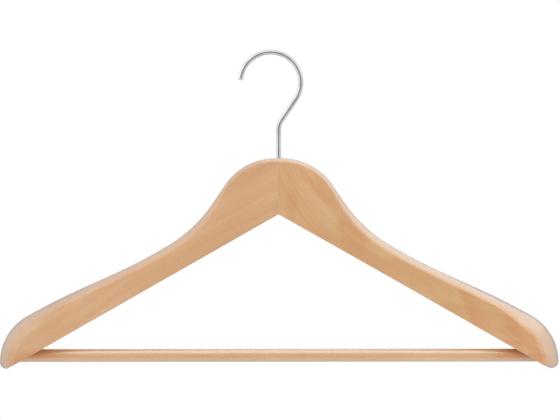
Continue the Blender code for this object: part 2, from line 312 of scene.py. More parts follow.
def prism(name: str, outline: list[Pair], low: float, high: float) -> Object:
    """Makes an upright prism.

    Args:
        name: The object's name.
        outline: Points (x, y) of its plan.
        low: Height of its lower end.
        high: Height of its upper end.

    Returns:
        The prism.
    """
    data = bmesh.new()
    rows = [[data.verts.new((x, y, z)) for x, y in outline] for z in (low, high)]
    for index in range(len(outline)):
        after = (index + 1) % len(outline)
        data.faces.new((rows[0][index], rows[0][after], rows[1][after], rows[1][index]))
    data.faces.new(rows[0][::-1])
    data.faces.new(rows[1])
    return link_mesh(name, data)


@dataclass
class NodeSheet:
    """A node tree that is filled in by short calls."""

    tree: Tree

    def feed(self, node: bpy.types.Node, inputs: dict) -> None:
        """Sets or links some of a node's inputs.

        Args:
            node: The node.
            inputs: Sockets or plain values by input name or number.
        """
        for key, value in inputs.items():
            if isinstance(value, Socket):
                self.tree.links.new(value, node.inputs[key])
            else:
                node.inputs[key].default_value = value

    def add(self, kind: str, inputs: dict | None = None, **settings: object) -> bpy.types.Node:
        """Adds a node.

        Args:
            kind: The node's type.
            inputs: Sockets or plain values by input name or number.
            **settings: The node's own properties.

        Returns:
            The new node.
        """
        node = self.tree.nodes.new(kind)
        for name, value in settings.items():
            setattr(node, name, value)
        self.feed(node, inputs or {})
        return node

    def calc(self, operation: str, first: object, second: object = 0.0, third: object = 0.0) -> Socket:
        """Adds a Math node, for a shader or a geometry tree.

        Args:
            operation: The node's operation.
            first: First value or socket.
            second: Second value or socket.
            third: Third value or socket.

        Returns:
            The result's socket.
        """
        return self.add("ShaderNodeMath", {0: first, 1: second, 2: third}, operation=operation).outputs[0]

    def span(self, value: Socket, low: float, high: float) -> Socket:
        """Adds a soft rise from 0 at low to 1 at high.

        Args:
            value: The value that is read.
            low: Where the rise begins.
            high: Where it ends.

        Returns:
            The rise's socket.
        """
        return self.add("ShaderNodeMapRange", {0: value, 1: low, 2: high}, interpolation_type="SMOOTHSTEP",
                        clamp=True).outputs[0]

    def blend(self, factor: object, first: object, second: object, mode: str = "MIX") -> Socket:
        """Adds a colour mix.

        Args:
            factor: Share of the second colour.
            first: Colour or socket at 0.
            second: Colour or socket at 1.
            mode: The mix's blend type.

        Returns:
            The mixed colour's socket.
        """
        low, high = ((*end, 1.0) if isinstance(end, tuple) else end for end in (first, second))
        return self.add("ShaderNodeMix", {0: factor, 6: low, 7: high}, data_type="RGBA", blend_type=mode,
                        clamp_factor=True).outputs[2]

    def vector(self, operation: str, first: object, second: object = (0.0, 0.0, 0.0)) -> Socket:
        """Adds a Vector Math node and gives the vector that it makes."""
        return self.add("ShaderNodeVectorMath", {0: first, 1: second}, operation=operation).outputs[0]

    def scaled(self, vector: Socket, factor: object) -> Socket:
        """Adds a Vector Math node that multiplies a vector by a number."""
        return self.add("ShaderNodeVectorMath", {0: vector, "Scale": factor}, operation="SCALE").outputs[0]

    def joined(self, x: object, y: object, z: object = 0.0) -> Socket:
        """Adds a node that joins three numbers to a vector."""
        return self.add("ShaderNodeCombineXYZ", {0: x, 1: y, 2: z}).outputs[0]

    def split(self, vector: Socket) -> list[Socket]:
        """Adds a node that gives a vector's three numbers."""
        return list(self.add("ShaderNodeSeparateXYZ", {0: vector}).outputs)

    def stretched(self, vector: Socket, scale: Place) -> Socket:
        """Adds a Mapping node that only scales a vector."""
        return self.add("ShaderNodeMapping", {"Vector": vector, "Scale": scale}).outputs[0]

    def noise(self, vector: Socket, detail: float, roughness: float = 0.55) -> Socket:
        """Adds a noise whose grains are about one unit of the vector.

        Args:
            vector: Where the noise is read.
            detail: Octaves of finer noise.
            roughness: Strength of the finer noise.

        Returns:
            The noise's value, about 0.5 on average.
        """
        return self.add("ShaderNodeTexNoise", {"Vector": vector, "Scale": 1.0, "Detail": detail,
                                               "Roughness": roughness}).outputs[0]


def new_group(name: str, kind: str, inputs: dict[str, tuple[str, object]],
              outputs: dict[str, str]) -> tuple[NodeSheet, dict[str, Socket], bpy.types.Node]:
    """Starts a node group.

    Args:
        name: The group's name.
        kind: ShaderNodeTree or GeometryNodeTree.
        inputs: Socket type and default (or None) by input name.
        outputs: Socket type by output name.

    Returns:
        The sheet to fill, the input sockets by name, and the output node.
    """
    tree = bpy.data.node_groups.new(name, kind)
    for label, (socket, default) in inputs.items():
        item = tree.interface.new_socket(label, in_out="INPUT", socket_type=socket)
        if default is not None:
            item.default_value = default
    for label, socket in outputs.items():
        tree.interface.new_socket(label, in_out="OUTPUT", socket_type=socket)
    sheet = NodeSheet(tree)
    entry = sheet.add("NodeGroupInput")
    return sheet, {label: entry.outputs[label] for label in inputs}, sheet.add("NodeGroupOutput")


@dataclass(frozen=True)
class Mark:
    """One kind of mark on a surface, which follows a noise."""

    scale: Place = (1.0, 1.0, 1.0)    # grains to a unit along each axis
    detail: float = 2.0
    roughness: float = 0.55
    edge: Pair | None = None          # noise over which a mask rises from 0 to 1

    def draw(self, sheet: NodeSheet, vector: Socket) -> Socket:
        """Adds the mark and gives its mask, or its bare noise where it has no edge."""
        grains = sheet.noise(sheet.stretched(vector, self.scale), self.detail, self.roughness)
        return sheet.span(grains, *self.edge) if self.edge else grains


@dataclass(frozen=True)
class WoodFigure:
    """The figure of a plank whose grain runs along X, with its lengths in millimetres."""

    waves: Mark = Mark((0.011, 0.03, 0.034))
    streaks: Mark = Mark((0.010, 0.30, 0.36), 4.0, 0.62, (0.34, 0.68))
    fibres: Mark = Mark((0.07, 2.4, 2.8), 3.0, 0.6)
    flecks: Mark = Mark((0.42, 1.1, 2.6), 1.0, edge=(0.60, 0.70))
    clouds: Mark = Mark((0.008, 0.02, 0.028), edge=(0.34, 0.66))
    ring_rise: Pair = (0.15, 0.85)    # share of a ring over which it darkens
    ring_end: Pair = (0.88, 1.0)      # share over which it turns pale again
    fleck_depth: float = 0.5
    heart_wander: float = 14.0        # how far the clouds move the heart's edges
    heart_lean: float = 1.3           # how far they lean for each millimetre of height
    heart_rise: float = 4.0
    heart_fade: Pair = (8.0, 30.0)    # run past the first edge over which it fades
    heart_loss: float = 0.7           # share of its tone that it loses there
    core_rise: float = 5.0

    def group(self) -> Tree:
        """Builds the figure's node group.

        Returns:
            A shader group with masks for growth rings, streaks, fibres, flecks, clouds and the plank's
            warmer heart, and a height.
        """
        numbers = {"Ring Spacing": 7.0, "Ring Depth": 60.0, "Ring Rise": 0.05, "Ring Waves": 9.0,
                   "Bend": 0.0, "Bend Length": 70.0, "Heart Start": 1000.0, "Heart End": 1050.0}
        inputs = {label: ("NodeSocketFloat", value) for label, value in numbers.items()}
        sheet, given, out = new_group(
            "wood_figure", "ShaderNodeTree", {"Vector": ("NodeSocketVector", None), **inputs},
            {label: "NodeSocketFloat" for label in ("Rings", "Streaks", "Fibres", "Flecks", "Clouds",
                                                    "Heart", "Height")})
        along, depth, level = sheet.split(sheet.scaled(given["Vector"], MILLIMETRES))
        before = sheet.calc("MAXIMUM", sheet.calc("SUBTRACT", given["Bend Length"], along), 0.0)
        share = sheet.calc("DIVIDE", given["Bend"], sheet.calc("MULTIPLY", given["Bend Length"], 2.0))
        lift = sheet.calc("MULTIPLY", sheet.calc("MULTIPLY", before, before), share)
        height = sheet.calc("SUBTRACT", level, lift)
        grain = sheet.joined(along, depth, height)

        waves = sheet.calc("SUBTRACT", self.waves.draw(sheet, grain), 0.5)
        waves = sheet.calc("MULTIPLY", waves, given["Ring Waves"])
        deep = sheet.calc("ADD", depth, given["Ring Depth"])
        across = sheet.calc("MULTIPLY_ADD", along, given["Ring Rise"], height)
        across = sheet.calc("MULTIPLY", across, across)
        radius = sheet.calc("SQRT", sheet.calc("MULTIPLY_ADD", deep, deep, across))
        rings = sheet.calc("DIVIDE", sheet.calc("ADD", radius, waves), given["Ring Spacing"])
        phase = sheet.calc("FRACT", rings)
        rings = sheet.calc("MULTIPLY", sheet.span(phase, *self.ring_rise),
                           sheet.calc("SUBTRACT", 1.0, sheet.span(phase, *self.ring_end)))

        streaks, fibres, flecks, clouds = (mark.draw(sheet, grain) for mark in (
            self.streaks, self.fibres, self.flecks, self.clouds))
        leaning = sheet.calc("MULTIPLY_ADD", height, self.heart_lean, along)
        drift = sheet.calc("MULTIPLY_ADD", clouds, self.heart_wander, leaning)
        past = sheet.calc("SUBTRACT", drift, given["Heart Start"])
        fading = sheet.calc("MULTIPLY_ADD", sheet.span(past, *self.heart_fade), -self.heart_loss, 1.0)
        outer = sheet.calc("MULTIPLY", sheet.span(past, 0.0, self.heart_rise), fading)
        core = sheet.span(sheet.calc("SUBTRACT", drift, given["Heart End"]), 0.0, self.core_rise)
        relief = sheet.calc("SUBTRACT", fibres, sheet.calc("MULTIPLY", flecks, self.fleck_depth))
        sheet.feed(out, {"Rings": rings, "Streaks": streaks, "Fibres": fibres, "Flecks": flecks,
                         "Clouds": clouds, "Heart": sheet.calc("MAXIMUM", outer, core), "Height": relief})
        return sheet.tree


@dataclass(frozen=True)
class MetalMarks:
    """The small marks on metal, with their lengths in millimetres."""

    smears: Mark = Mark(detail=3.0, roughness=0.6, edge=(0.36, 0.68))
    scratches: Mark = Mark(roughness=0.7, edge=(0.58, 0.72))
    smear_height: float = 0.3

    def group(self) -> Tree:
        """Builds the marks' node group.

        Returns:
            A shader group with masks for smears and scratches, and a height.
        """
        sheet, given, out = new_group(
            "surface_marks", "ShaderNodeTree",
            {"Vector": ("NodeSocketVector", None), "Smear Size": ("NodeSocketFloat", 6.0),
             "Scratch Width": ("NodeSocketFloat", 0.12), "Scratch Length": ("NodeSocketFloat", 3.0)},
            {label: "NodeSocketFloat" for label in ("Smears", "Scratches", "Height")})
        place = sheet.scaled(given["Vector"], MILLIMETRES)
        smears = self.smears.draw(sheet, sheet.scaled(place, sheet.calc("DIVIDE", 1.0, given["Smear Size"])))
        thin = sheet.calc("DIVIDE", 1.0, given["Scratch Width"])
        long = sheet.calc("DIVIDE", 1.0, given["Scratch Length"])
        fine = sheet.vector("MULTIPLY", place, sheet.joined(thin, thin, long))
        scratches = self.scratches.draw(sheet, fine)
        relief = sheet.calc("MULTIPLY", smears, self.smear_height)
        relief = sheet.calc("MULTIPLY_ADD", scratches, -1.0, relief)
        sheet.feed(out, {"Smears": smears, "Scratches": scratches, "Height": relief})
        return sheet.tree


def new_material(name: str) -> tuple[Material, NodeSheet, bpy.types.Node]:
    """Starts a material with nodes.

    Args:
        name: The material's name.

    Returns:
        The material, its sheet, and its surface shader.
    """
    material = bpy.data.materials.new(name)
    material.use_nodes = True
    return material, NodeSheet(material.node_tree), material.node_tree.nodes["Principled BSDF"]


@dataclass(frozen=True)
class WarmAndShadePatch:
    """A browner ellipse with a broken edge that goes right through the plank; some are patches of the wood,
    and those on the heels are painted shade on their lower rounding.
    """

    centre: Pair                                      # its X and Z
    fall: float                                       # how steeply its long axis falls to the right
    half_length: float
    half_width: float
    share: float
    broken: Mark = Mark((140.0, 40.0, 140.0), 3.0)    # what breaks its edge
    edge: Pair = (1.75, 0.95)                         # where it begins and is full, from its centre

    def mask(self, sheet: NodeSheet, place: Socket) -> Socket:
        """Adds the patch's mask.

        Args:
            sheet: The material's nodes.
            place: Object coordinates.

        Returns:
            The mask's socket, which is 0 outside the patch and its share at its core.
        """
        local = sheet.add("ShaderNodeMapping", {
            "Vector": place, "Location": (self.centre[0], 0.0, self.centre[1]),
            "Rotation": (0.0, math.radians(self.fall), 0.0),
            "Scale": (self.half_length, 1.0, self.half_width)}, vector_type="TEXTURE").outputs[0]
        away = sheet.add("ShaderNodeVectorMath", {0: local}, operation="LENGTH").outputs["Value"]
        away = sheet.calc("ADD", away, self.broken.draw(sheet, place))
        return sheet.calc("MULTIPLY", sheet.span(away, *self.edge), self.share)


@dataclass(frozen=True)
class WoodFinish:
    """Pale close-grained wood under a thin satin lacquer."""

    name: str
    pale: Colour
    deep: Colour
    ring_colour: Colour
    streak_colour: Colour
    fleck_colour: Colour = (0.40, 0.20, 0.09)
    grain_angle: float = 0.0                    # the grain's rise above +X, seen from the front
    shift: Place = (0.0, 0.0, 0.0)              # moves the figure about in the plank
    ring_spacing: float = 7.0
    ring_depth: float = 60.0
    ring_rise: float = 0.05
    ring_waves: float = 9.0
    ring_share: float = 0.35
    streak_share: float = 0.30
    fibre_share: float = 0.22
    fleck_share: float = 0.28
    bend: float = 0.0
    bend_length: float = 70.0
    heart: Pair = (1000.0, 1050.0)              # two places along the plank where it turns warmer
    heart_tint: Colour = (0.955, 0.85, 0.69)
    patches: tuple[WarmAndShadePatch, ...] = ()
    # tint of the wood's patches, and of the painted shade on the heels' lower rounding
    patch_and_shade_tint: Colour = (0.955, 0.845, 0.755)
    sheen_and_shadow_tone: Colour = (0.62, 0.46, 0.33)    # painted sheen and shadow: a paler, greyer tone on the arms' rounded edges standing in for the lacquer's gloss of overhead light; on the bar, painted shadow where the arms shade its ends
    # share of that painted sheen or painted shadow where it is full
    sheen_and_shadow_share: float = 0.85
    roughness: float = 0.46
    roughness_spread: float = 0.16
    specular: float = 0.7
    coat: float = 1.0
    coat_index: float = 1.65
    coat_roughness: float = 0.24
    sheen: float = 0.6
    sheen_roughness: float = 0.4
    relief: float = 0.00005
    relief_share: float = 0.6

    def material(self, figure: Tree) -> Material:
        """Builds the material.

        Args:
            figure: The wood figure group.

        Returns:
            The finished material.
        """
        made, sheet, shader = new_material(self.name)
        place = sheet.add("ShaderNodeTexCoord").outputs["Object"]
        along_grain = sheet.add("ShaderNodeMapping", {
            "Vector": place, "Location": self.shift,
            "Rotation": (0.0, math.radians(self.grain_angle), 0.0)}).outputs[0]
        marks = sheet.add("ShaderNodeGroup", {
            "Vector": along_grain, "Ring Spacing": self.ring_spacing, "Ring Depth": self.ring_depth,
            "Ring Rise": self.ring_rise, "Ring Waves": self.ring_waves, "Bend": self.bend,
            "Bend Length": self.bend_length, "Heart Start": self.heart[0],
            "Heart End": self.heart[1]}, node_tree=figure).outputs
        # painted sheen on the arms' rounded edges and painted shadow at the bar's ends, read from the points
        second = sheet.add("ShaderNodeAttribute", attribute_name=SHEEN_AND_SHADOW_TONE).outputs["Fac"]
        colour = sheet.blend(marks["Clouds"], self.pale, self.deep)
        for mask, share, tint, mode in ((marks["Rings"], self.ring_share, self.ring_colour, "MIX"),
                                        (marks["Streaks"], self.streak_share, self.streak_colour, "MIX"),
                                        (marks["Fibres"], self.fibre_share, self.streak_colour, "MIX"),
                                        (marks["Flecks"], self.fleck_share, self.fleck_colour, "MIX"),
                                        (marks["Heart"], 1.0, self.heart_tint, "MULTIPLY"),
                                        (second, self.sheen_and_shadow_share, self.sheen_and_shadow_tone, "MIX")):
            colour = sheet.blend(sheet.calc("MULTIPLY", mask, share), colour, tint, mode)
        # the wood's browner patches, and painted shade on the heels' lower rounding
        for patch in self.patches:
            colour = sheet.blend(patch.mask(sheet, place), colour, self.patch_and_shade_tint, "MULTIPLY")
        rough = sheet.calc("MULTIPLY_ADD", marks["Fibres"], self.roughness_spread,
                           self.roughness - self.roughness_spread / 2)
        bump = sheet.add("ShaderNodeBump", {"Height": marks["Height"], "Strength": self.relief_share,
                                            "Distance": self.relief})
        sheet.feed(shader, {
            "Base Color": colour, "Roughness": rough, "Normal": bump.outputs[0],
            "Specular IOR Level": self.specular, "Coat Weight": self.coat, "Coat IOR": self.coat_index,
            "Coat Roughness": self.coat_roughness, "Sheen Weight": self.sheen,
            "Sheen Roughness": self.sheen_roughness})
        return made


@dataclass(frozen=True)
class MetalFinish:
    """Bright or plated metal with faint smears and fine scratches."""

    name: str
    bright: Colour
    dull: Colour
    smear_size: float
    scratch_length: float
    roughness: float
    roughness_spread: float
    relief: float = 0.00002
    relief_share: float = 0.5

    def material(self, marks_group: Tree) -> Material:
        """Builds the material.

        Args:
            marks_group: The surface marks group.

        Returns:
            The finished material.
        """
        made, sheet, shader = new_material(self.name)
        place = sheet.add("ShaderNodeTexCoord").outputs["Object"]
        marks = sheet.add("ShaderNodeGroup", {
            "Vector": place, "Smear Size": self.smear_size,
            "Scratch Length": self.scratch_length}, node_tree=marks_group).outputs
        worn = sheet.calc("MAXIMUM", marks["Smears"], marks["Scratches"])
        rough = sheet.calc("MULTIPLY_ADD", worn, self.roughness_spread, self.roughness)
        bump = sheet.add("ShaderNodeBump", {"Height": marks["Height"], "Strength": self.relief_share,
                                            "Distance": self.relief})
        sheet.feed(shader, {"Base Color": sheet.blend(worn, self.bright, self.dull), "Roughness": rough,
                            "Normal": bump.outputs[0], "Metallic": 1.0})
        return made


@dataclass(frozen=True)
class Finishes:
    """Every material of the hanger, built once."""

    left_arm: Material
    right_arm: Material
    bar: Material
    chrome: Material
    steel: Material

    @classmethod
    def build(cls, slope: float) -> "Finishes":
        """Builds the materials.

        Args:
            slope: How steeply the arms fall, which their grain follows.

        Returns:
            The set of materials.
        """
        figure, marks = WoodFigure().group(), MetalMarks().group()
        left = WoodFinish("left_arm_wood", pale=(0.70, 0.425, 0.215), deep=(0.63, 0.355, 0.165),
                          ring_colour=(0.58, 0.29, 0.125), streak_colour=(0.59, 0.31, 0.14),
                          grain_angle=slope, shift=(0.31, 0.0, 0.045), ring_spacing=8.0, ring_share=0.34,
                          sheen_and_shadow_share=0.5, patch_and_shade_tint=(0.91, 0.79, 0.67),
                          # painted shade on the left heel's lower rounding
                          patches=(WarmAndShadePatch((-0.2060, -0.2425), 0.0, 0.020, 0.0070, 1.0),))
        right = WoodFinish("right_arm_wood", pale=(0.724, 0.458, 0.238), deep=(0.642, 0.366, 0.149),
                           ring_colour=(0.58, 0.28, 0.095), streak_colour=(0.58, 0.30, 0.11),
                           grain_angle=-slope, shift=(-0.064, 0.0, 0.112), ring_spacing=9.0,
                           ring_share=0.5, streak_share=0.5, bend=0.6, bend_length=72.0,
                           heart=(191.0, 232.0), sheen_and_shadow_share=0.7,
                           patches=(WarmAndShadePatch((0.0600, -0.1460), 50.0, 0.019, 0.0105, 1.0),
                                    WarmAndShadePatch((0.0290, -0.1050), 47.0, 0.027, 0.0050, 0.9),
                                    WarmAndShadePatch((0.0105, -0.1200), 90.0, 0.013, 0.0042, 0.7),
                                    # a darker patch just above the right tip's lower edge
                                    WarmAndShadePatch((0.1873, -0.2262), 45.0, 0.014, 0.0060, 0.9),
                                    # painted shade on the right heel's lower rounding
                                    WarmAndShadePatch((0.1980, -0.2440), 0.0, 0.024, 0.0060, 0.8)))
        # the bar's painted tone is a painted shadow: deep orange where the arms shade its ends
        bar = WoodFinish("bar_wood", pale=(0.745, 0.465, 0.245), deep=(0.675, 0.40, 0.185),
                         ring_colour=(0.60, 0.33, 0.15), streak_colour=(0.58, 0.32, 0.15),
                         shift=(0.12, 0.0, 0.25), ring_spacing=4.0, ring_depth=30.0, ring_waves=4.0,
                         roughness=0.5, coat_index=2.0, sheen_and_shadow_tone=(0.505, 0.185, 0.040),
                         sheen_and_shadow_share=1.0)
        chrome = MetalFinish("hook_chrome", bright=(0.62, 0.63, 0.64), dull=(0.52, 0.53, 0.55),
                             smear_size=7.0, scratch_length=2.5, roughness=0.13, roughness_spread=0.12)
        steel = MetalFinish("zinc_steel", bright=(0.66, 0.67, 0.68), dull=(0.46, 0.47, 0.49),
                            smear_size=1.6, scratch_length=0.8, roughness=0.30, roughness_spread=0.18)
        return cls(left.material(figure), right.material(figure), bar.material(figure),
                   chrome.material(marks), steel.material(marks))


def dress(piece: Object, material: Material, body: Body, slot: Slot, *nodes: str) -> None:
    """Gives a finished piece its material and body, logs its slot, and hides what it stands for.

    Args:
        piece: The finished piece.
        material: Its material.
        body: The CAD body that it rides on.
        slot: The record's material slot.
        *nodes: The CAD nodes that it replaces.
    """
    piece.data.materials.clear()
    piece.data.materials.append(material)
    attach(piece, body.value)
    if nodes:
        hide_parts(*nodes)
    faces = sum(len(face.vertices) - 2 for face in piece.data.polygons)
    log.info("%s: %d triangles, rides on %s, finish %s", piece.name, faces, body.value, slot.value)


@dataclass
class ArmShape:
    """The form of one arm, seen from the front and from above.

    rounds are the radii of the outline's corners, from the neck to the tip. The butt is the arm's broad end.
    """

    wood_top: float = -0.0830
    neck_height: float = 0.0454
    neck_thickness: float = 0.014
    neck_flat_half: float = 0.015
    neck_corner: float = 0.0285
    half_width: float = 0.22499
    slope: float = 29.5
    shoulder: Pair = (0.0651, 0.0230)     # place along the underside, height above it
    waist: Pair = (0.1157, 0.0218)
    butt_length: float = 0.0486
    butt_height: float = 0.0292
    rounds: tuple[float, ...] = (0.049, 0.116, 0.402, 0.440, 0.0425)
    tip_thickness: float = 0.038
    tip_forward: float = 0.020
    neck_edge: Pair = (0.0040, 0.0036)    # height on the face, width across the top
    arm_edge: Pair = (0.0064, 0.0062)
    butt_edge: Pair = (0.0140, 0.0180)
    edge_crease: float = 20.0
    edge_steps: int = 14
    ridge_half: float = 0.0008
    neck_edge_end: float = 0.020
    arm_edge_start: float = 0.060
    butt_starts: Pair = (0.068, 0.130)
    butt_edge_full: float = 0.038
    tip_hinge: float = 0.0345
    arc_step: float = 2.0
    longest: float = 0.0035
    crease_soft: float = 0.0009           # a support row this far below the crease
    crease_soft_most: float = 0.25        # and at most this share of the face below it
    foot_round: float = 0.0009            # rounding of the lower edges
    foot_steps: int = 8

    def __post_init__(self) -> None:
        """Works out the directions and places that the sizes above give."""
        angle = math.radians(self.slope)
        self.notch = self.wood_top - self.neck_height
        self.along = Vector((math.cos(angle), -math.sin(angle)))
        self.across = Vector((math.sin(angle), math.cos(angle)))
        self.heel_place = self.half_width / math.cos(angle)

    def underside_point(self, distance: float) -> Vector:
        """Gives the point (x, z) on the right arm's underside at a distance from the notch."""
        return Vector((0.0, self.notch)) + self.along * distance

    def underside_z(self, x: float) -> float:
        """Gives the underside's height at a distance x from the middle."""
        return self.notch - abs(x) * math.tan(math.radians(self.slope))

    def face_bulge(self, x: float) -> float:
        """Gives 0 on the neck's flat faces, growing to 1 at the tip."""
        return max(0.0, (abs(x) - self.neck_flat_half) / (self.half_width - self.neck_flat_half)) ** 2

    def middle_y(self, x: float) -> float:
        """Gives the middle of the wood's thickness at a distance x from the middle of the neck."""
        return -self.tip_forward * self.face_bulge(x)

    def half_thickness(self, x: float) -> float:
        """Gives half of the wood's thickness at a distance x from the middle of the neck."""
        grown = (self.tip_thickness - self.neck_thickness) * self.face_bulge(x)
        return (self.neck_thickness + grown) / 2

    def edge_size(self, distance: float) -> list[float]:
        """Gives the rounded top edge's size.

        Args:
            distance: Place along the underside.

        Returns:
            The edge's height on the face and its width across the top.
        """
        arm_share = smooth_step(self.neck_edge_end, self.arm_edge_start, distance)
        full = self.heel_place - self.butt_edge_full
        size = []
        for neck, arm, butt, start in zip(self.neck_edge, self.arm_edge, self.butt_edge, self.butt_starts):
            plain = neck + (arm - neck) * arm_share
            size.append(plain + (butt - plain) * smooth_step(self.heel_place - start, full, distance))
        return size

    def outline(self) -> list[Vector]:
        """Draws the right arm's outline.

        Returns:
            Its points (x, z), from the middle of its top round the tip to the sharp heel.
        """
        tip_place = (self.half_width + -self.butt_height * self.across.x) / self.along.x
        raised = [self.shoulder, self.waist, (tip_place - self.butt_length, self.butt_height),
                  (tip_place, self.butt_height)]
        corners = [Vector((0.0, self.wood_top)), Vector((self.neck_corner, self.wood_top))]
        corners += [self.underside_point(place) + self.across * height for place, height in raised]
        corners.append(self.underside_point(self.heel_place))
        path = rounded_path(corners, list(self.rounds), self.arc_step)
        return split_long(path[:-1], self.longest) + path[-1:]

    def stations(self) -> list[tuple[Vector, Vector, Vector, float]]:
        """Gives the cross-sections along the right arm.

        Returns:
            For each: the underside's point, the crease's point, the top's point and the edge's width.
        """
        found = []
        for point in self.outline():
            foot = (point - self.underside_point(0.0)).dot(self.along)
            lean = smooth_step(0.0, self.shoulder[0], point.x)
            place = (1 - lean) * point.x / self.along.x + lean * foot
            base = self.underside_point(min(place, self.heel_place - self.tip_hinge))
            height, width = self.edge_size(foot)
            crease = base.lerp(point, 1 - height / (point - base).length)
            found.append((base, crease, point, width))
        return found

    def edge_profile(self) -> list[Pair]:
        """Works out the steps up the rounded edge.

        Returns:
            Shares of its height and of its width.
        """
        crease = math.radians(self.edge_crease)
        steps = []
        for step in range(self.edge_steps + 1):
            angle = crease + (math.pi / 2 - crease) * step / self.edge_steps
            rise = (math.sin(angle) - math.sin(crease)) / (1 - math.sin(crease))
            steps.append((rise, 1 - math.cos(angle) / math.cos(crease)))
        return steps

    def ring(self, base: Vector, crease: Vector, point: Vector, width: float, side: int) -> list[Vector]:
        """Gives one closed cross-section, up the front, over the top and down the back.

        Args:
            base: Point (x, z) on the underside.
            crease: Point where the rounded edge meets the flat face.
            point: Point on the top.
            width: Width of the rounded edge across the top.
            side: Sign of the arm's X.

        Returns:
            The ring's points, which start and end with the rounding of a lower edge.
        """
        depth = self.half_thickness(crease.x)
        wide = min(width, depth - self.ridge_half)
        soft = crease.lerp(base, min(self.crease_soft_most, self.crease_soft / (crease - base).length))
        front, back = [], []
        for face, rim in ((-1, front), (1, back)):
            for step in range(self.foot_steps + 1):
                angle = math.pi / 2 * step / self.foot_steps
                depth_here = self.half_thickness(base.x) - self.foot_round * (1 - math.sin(angle))
                rim.append((base + self.across * self.foot_round * (1 - math.cos(angle)),
                            self.middle_y(base.x) + face * depth_here))
            rim.append((soft, self.middle_y(soft.x) + face * self.half_thickness(soft.x)))
            for rise, inward in self.edge_profile():
                rim.append((crease.lerp(point, rise),
                            self.middle_y(crease.x) + face * (depth - wide * inward)))
        return [Vector((side * place.x, y, place.y)) for place, y in front + back[::-1]]


@dataclass
class HardwareSizes:
    """Places and sizes of what is bored into or fixed in the wood."""

    wire_diameter: float = 0.003895
    pin_diameter: float = 0.0030
    stem_depth: float = 0.0300
    counterbore_depth: float = 0.0060
    washer_diameter: float = 0.0088
    washer_thickness: float = 0.0008
    nut_width: float = 0.0055
    nut_thickness: float = 0.0024
    pin_overhang: float = 0.0008
    gap: float = 0.0003
    tongue_thickness: float = 0.0076
    tongue_length: float = 0.012
    seam_gap: float = 0.00003
    bar_diameter: float = 0.0105
    bar_entry: float = 0.0246
    bar_end: float = 0.010
    fit_gap: float = 0.00012
    nail_diameter: float = 0.0016
    nail_length: float = 0.019
    nail_head_diameter: float = 0.0028
    nail_head_thickness: float = 0.0008
    nail_from_tip: float = 0.017
    nail_sink: float = 0.0003
    shape: ArmShape = field(default_factory=ArmShape)

    def __post_init__(self) -> None:
        """Works out the places that the sizes above give."""
        shape = self.shape
        entry = shape.half_width - self.bar_entry
        self.bar_y = shape.middle_y(entry)
        self.bar_z = shape.underside_z(entry)
        self.bar_end_x = shape.half_width - self.bar_end
        self.nail_x = shape.half_width - self.nail_from_tip
        self.nail_back = shape.middle_y(self.nail_x) + shape.half_thickness(self.nail_x)
        self.nail_tip = self.nail_back - self.nail_sink - self.nail_length
        self.shoulder_z = shape.wood_top - self.stem_depth
        self.ceiling = shape.notch + self.counterbore_depth
        self.washer_top = self.ceiling - self.gap
        self.nut_top = self.washer_top - self.washer_thickness - self.gap
        self.stem_end = self.nut_top - self.nut_thickness - self.pin_overhang


